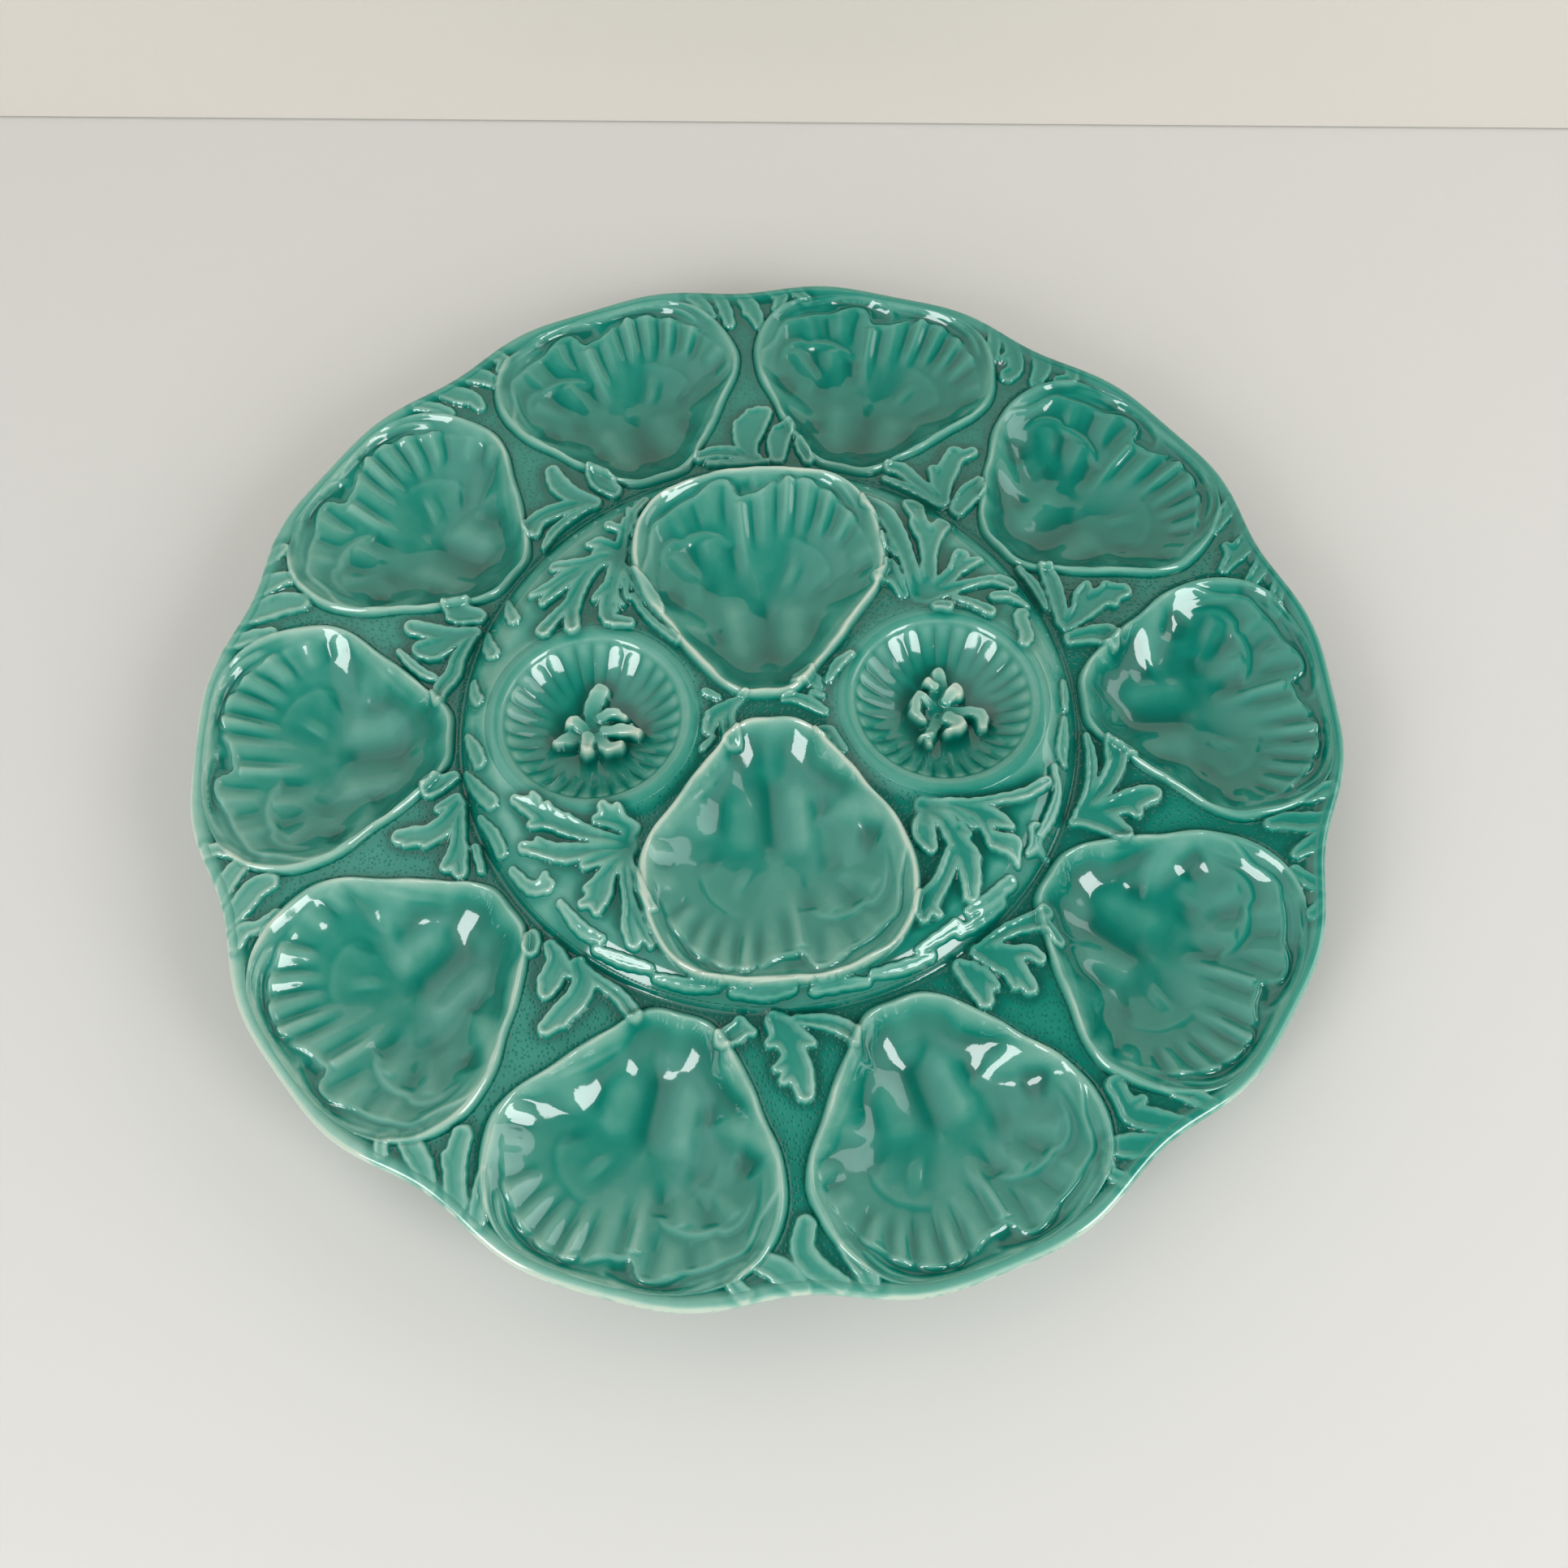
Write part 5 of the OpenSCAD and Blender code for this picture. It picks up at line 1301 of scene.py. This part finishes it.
def glaze_material(name, level, stamped):
    material = bpy.data.materials.new(name)
    material.use_nodes = True
    tree = material.node_tree
    shader = tree.nodes["Principled BSDF"]
    place = node_at(tree, "ShaderNodeTexCoord").outputs["Object"]
    grain = noise(tree, place, GRAIN_SCALE, 4)
    tone = weigh(tree, noise(tree, place, CLOUD_SCALE, 3), CLOUD, level - CLOUD / 2)
    tone = weigh(tree, grain, GRAIN, tone)
    # The thin mark carries painted light and shade as well as the glaze's thinness.
    tone = weigh(tree, mark_of(tree, "thin"), 1.0, tone)
    if stamped:
        pits = dot_pits(tree, place)
        tone = weigh(tree, pits, 1.0, tone)
    ramp = node_at(tree, "ShaderNodeValToRGB")
    fill_ramp(ramp.color_ramp, GLAZE_TONES)
    wire(tree, tone, ramp.inputs[0])
    wire(tree, ramp.outputs[0], shader.inputs["Base Color"])
    bump = node_at(tree, "ShaderNodeBump")
    bump.inputs["Distance"].default_value = BUMP_H
    bump.inputs["Strength"].default_value = DOT_BUMP if stamped else GRAIN_BUMP
    wire(tree, pits if stamped else grain, bump.inputs["Height"])
    wire(tree, bump.outputs[0], shader.inputs["Normal"])
    shader.inputs["Roughness"].default_value = GLAZE_ROUGHNESS
    shader.inputs["IOR"].default_value = GLAZE_IOR
    return material


turquoise = glaze_material("turquoise_glaze", 0.46, False)
dotted = glaze_material("dotted_ground_glaze", 0.30, True)
seaweed_glaze = glaze_material("seaweed_glaze", 0.41, False)
foot_glaze = glaze_material("foot_glaze", 0.60, False)
print("glazes:", [m.name for m in bpy.data.materials if "glaze" in m.name])

# %% Each piece gets its glaze and its body
for node, piece in made.items():
    piece.data.materials.clear()
    if node in seaweed or node in KNOBS:
        finish, slot = seaweed_glaze, "seaweed_glaze"
    elif node == "foot_ring":
        finish, slot = foot_glaze, "foot_glaze"
    else:
        finish, slot = (dotted if node in ("rim_band", "raised_centre") else turquoise), "turquoise_glaze"
    piece.data.materials.append(finish)
    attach(piece, "root")
    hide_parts(node)
print("every node is replaced:", sorted(made) == sorted(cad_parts))

# %% [markdown]
# ## Table, wall, windows and camera
# The plate stands on a pale grey table in front of a low cream wall, with a fine dark joint
# between the two. Two windows behind the viewer give the hard little reflections on the walls of
# the cups and wells, and a pale curtain at the right gives broad ones. The room is dim in front
# and overhead, which keeps the green deep. The ceiling is bright at the left and fills the
# shadows there. Who looks from behind the wall sees through it.

# %% Table and wall
def plain_material(name, colour, roughness):
    material = bpy.data.materials.new(name)
    material.use_nodes = True
    shader = material.node_tree.nodes["Principled BSDF"]
    shader.inputs["Base Color"].default_value = (*colour, 1)
    shader.inputs["Roughness"].default_value = roughness
    return material


def clear_from_behind(material):
    """Lets a viewer behind the wall see through it. Light and reflections still meet it."""
    tree = material.node_tree
    side = node_at(tree, "ShaderNodeSeparateXYZ")
    wire(tree, node_at(tree, "ShaderNodeNewGeometry").outputs["Normal"], side.inputs[0])
    turned = node_at(tree, "ShaderNodeMath", operation="GREATER_THAN")
    wire(tree, side.outputs["Y"], turned.inputs[0])
    turned.inputs[1].default_value = -0.5
    seen = times(tree, turned.outputs[0], node_at(tree, "ShaderNodeLightPath").outputs["Is Camera Ray"])
    paint = node_at(tree, "ShaderNodeMixShader")
    wire(tree, seen, paint.inputs[0])
    wire(tree, tree.nodes["Principled BSDF"].outputs[0], paint.inputs[1])
    wire(tree, node_at(tree, "ShaderNodeBsdfTransparent").outputs[0], paint.inputs[2])
    wire(tree, paint.outputs[0], tree.nodes["Material Output"].inputs["Surface"])
    return material


WALL_FOOT, WALL_TURN, WALL_TALL = (0.0231, 0.298), math.radians(-4.28), 0.46
WALL_THICK, WALL_GAP, STAGE_W = 0.004, 0.0007, 6
TABLE_GREY, WALL_CREAM = (0.70, 0.695, 0.67), (0.68, 0.655, 0.60)
deselect()
bpy.ops.mesh.primitive_plane_add(size=STAGE_W)
table = bpy.context.object
table.name = "table_top"
table.data.materials.append(plain_material("table_paint", TABLE_GREY, 0.5))
wall_at = (WALL_FOOT[0] - math.sin(WALL_TURN) * WALL_THICK / 2,
           WALL_FOOT[1] + math.cos(WALL_TURN) * WALL_THICK / 2, WALL_GAP + WALL_TALL / 2)
bpy.ops.mesh.primitive_cube_add(size=1, location=wall_at, rotation=(0, 0, WALL_TURN))
wall = bpy.context.object
wall.scale = (STAGE_W, WALL_THICK, WALL_TALL)
wall.name = "back_wall"
wall.data.materials.append(clear_from_behind(plain_material("wall_paint", WALL_CREAM, 0.7)))
print("stage ready")

# %% Windows and room light
WINDOWS = (("window_left", -135, 31, 1.5, (0.48, 0.75), 8.5),
           ("window_right", -42, 31, 1.5, (0.48, 0.75), 8.5),
           ("pale_curtain", 12, 27, 1.6, (1.2, 0.8), 4.5))


def placed(axes, at):
    """World matrix from three axes and a place in metres."""
    return Matrix([[*row, at[k]] for k, row in enumerate(np.stack(axes, 1))] + [[0, 0, 0, 1]])


for name, azimuth, elevation, distance, size, power in WINDOWS:
    turn, rise = math.radians(azimuth), math.radians(elevation)
    back = np.array([math.cos(rise) * math.cos(turn), math.cos(rise) * math.sin(turn), math.sin(rise)])
    right = np.cross([0, 0, 1.0], back)
    right /= np.linalg.norm(right)
    light = bpy.data.lights.new(name, "AREA")
    light.shape, light.size, light.size_y, light.energy = "RECTANGLE", *size, power
    lamp = bpy.data.objects.new(name, light)
    bpy.context.collection.objects.link(lamp)
    lamp.matrix_world = placed([right, np.cross(back, right), back], back * distance)

ROOM_TONES = [(0.0, 0.30), (0.25, 0.75), (0.5, 0.90), (0.72, 0.40), (0.86, 0.12), (1.0, 0.08)]
ROOM_LEVEL, ROOM_TILT = 0.8, 0.22
world = bpy.data.worlds.new("room")
bpy.context.scene.world = world
world.use_nodes = True
tree = world.node_tree
sky = tree.nodes["Background"]
direction = node_at(tree, "ShaderNodeSeparateXYZ")
wire(tree, node_at(tree, "ShaderNodeTexCoord").outputs["Generated"], direction.inputs[0])
room = node_at(tree, "ShaderNodeValToRGB")
fill_ramp(room.color_ramp, [(at, (grey, grey * 0.99, grey * 0.96)) for at, grey in ROOM_TONES])
wire(tree, direction.outputs["Z"], room.inputs[0])
wire(tree, room.outputs[0], sky.inputs["Color"])
wire(tree, weigh(tree, direction.outputs["X"], ROOM_TILT, ROOM_LEVEL), sky.inputs["Strength"])
bright = []
for axis, low, high in (("X", 0.12, -0.32), ("Z", 0.40, 0.75)):
    share = node_at(tree, "ShaderNodeMapRange", interpolation_type="SMOOTHSTEP")
    share.inputs["From Min"].default_value, share.inputs["From Max"].default_value = low, high
    wire(tree, direction.outputs[axis], share.inputs["Value"])
    bright.append(share.outputs["Result"])
ceiling, both = node_at(tree, "ShaderNodeBackground"), node_at(tree, "ShaderNodeAddShader")
ceiling.inputs["Color"].default_value = (0.80, 0.80, 0.78, 1)
wire(tree, times(tree, *bright), ceiling.inputs["Strength"])
wire(tree, sky.outputs[0], both.inputs[0])
wire(tree, ceiling.outputs[0], both.inputs[1])
wire(tree, both.outputs[0], tree.nodes["World Output"].inputs["Surface"])
print("lights ready")

# %% Camera
CAMERA_AT = (-8.33, -238.2, 476.2)
CAMERA_AXES = ((0.99814192, -0.06087282, -0.00268534), (0.05602054, 0.89945923, 0.43339912),
               (-0.02396687, -0.43274426, 0.90119809))
SENSOR, FOCAL_PX, PHOTO_PX = 36, 1940.5, 1932
lens = bpy.data.cameras.new("photo_camera")
lens.sensor_width, lens.lens = SENSOR, SENSOR * FOCAL_PX / PHOTO_PX
camera = bpy.data.objects.new("photo_camera", lens)
bpy.context.collection.objects.link(camera)
camera.matrix_world = placed(CAMERA_AXES, [c * MM for c in CAMERA_AT])
bpy.context.scene.camera = camera
bpy.context.scene.view_settings.view_transform = "Standard"
print("camera", round(lens.lens, 2), "mm")
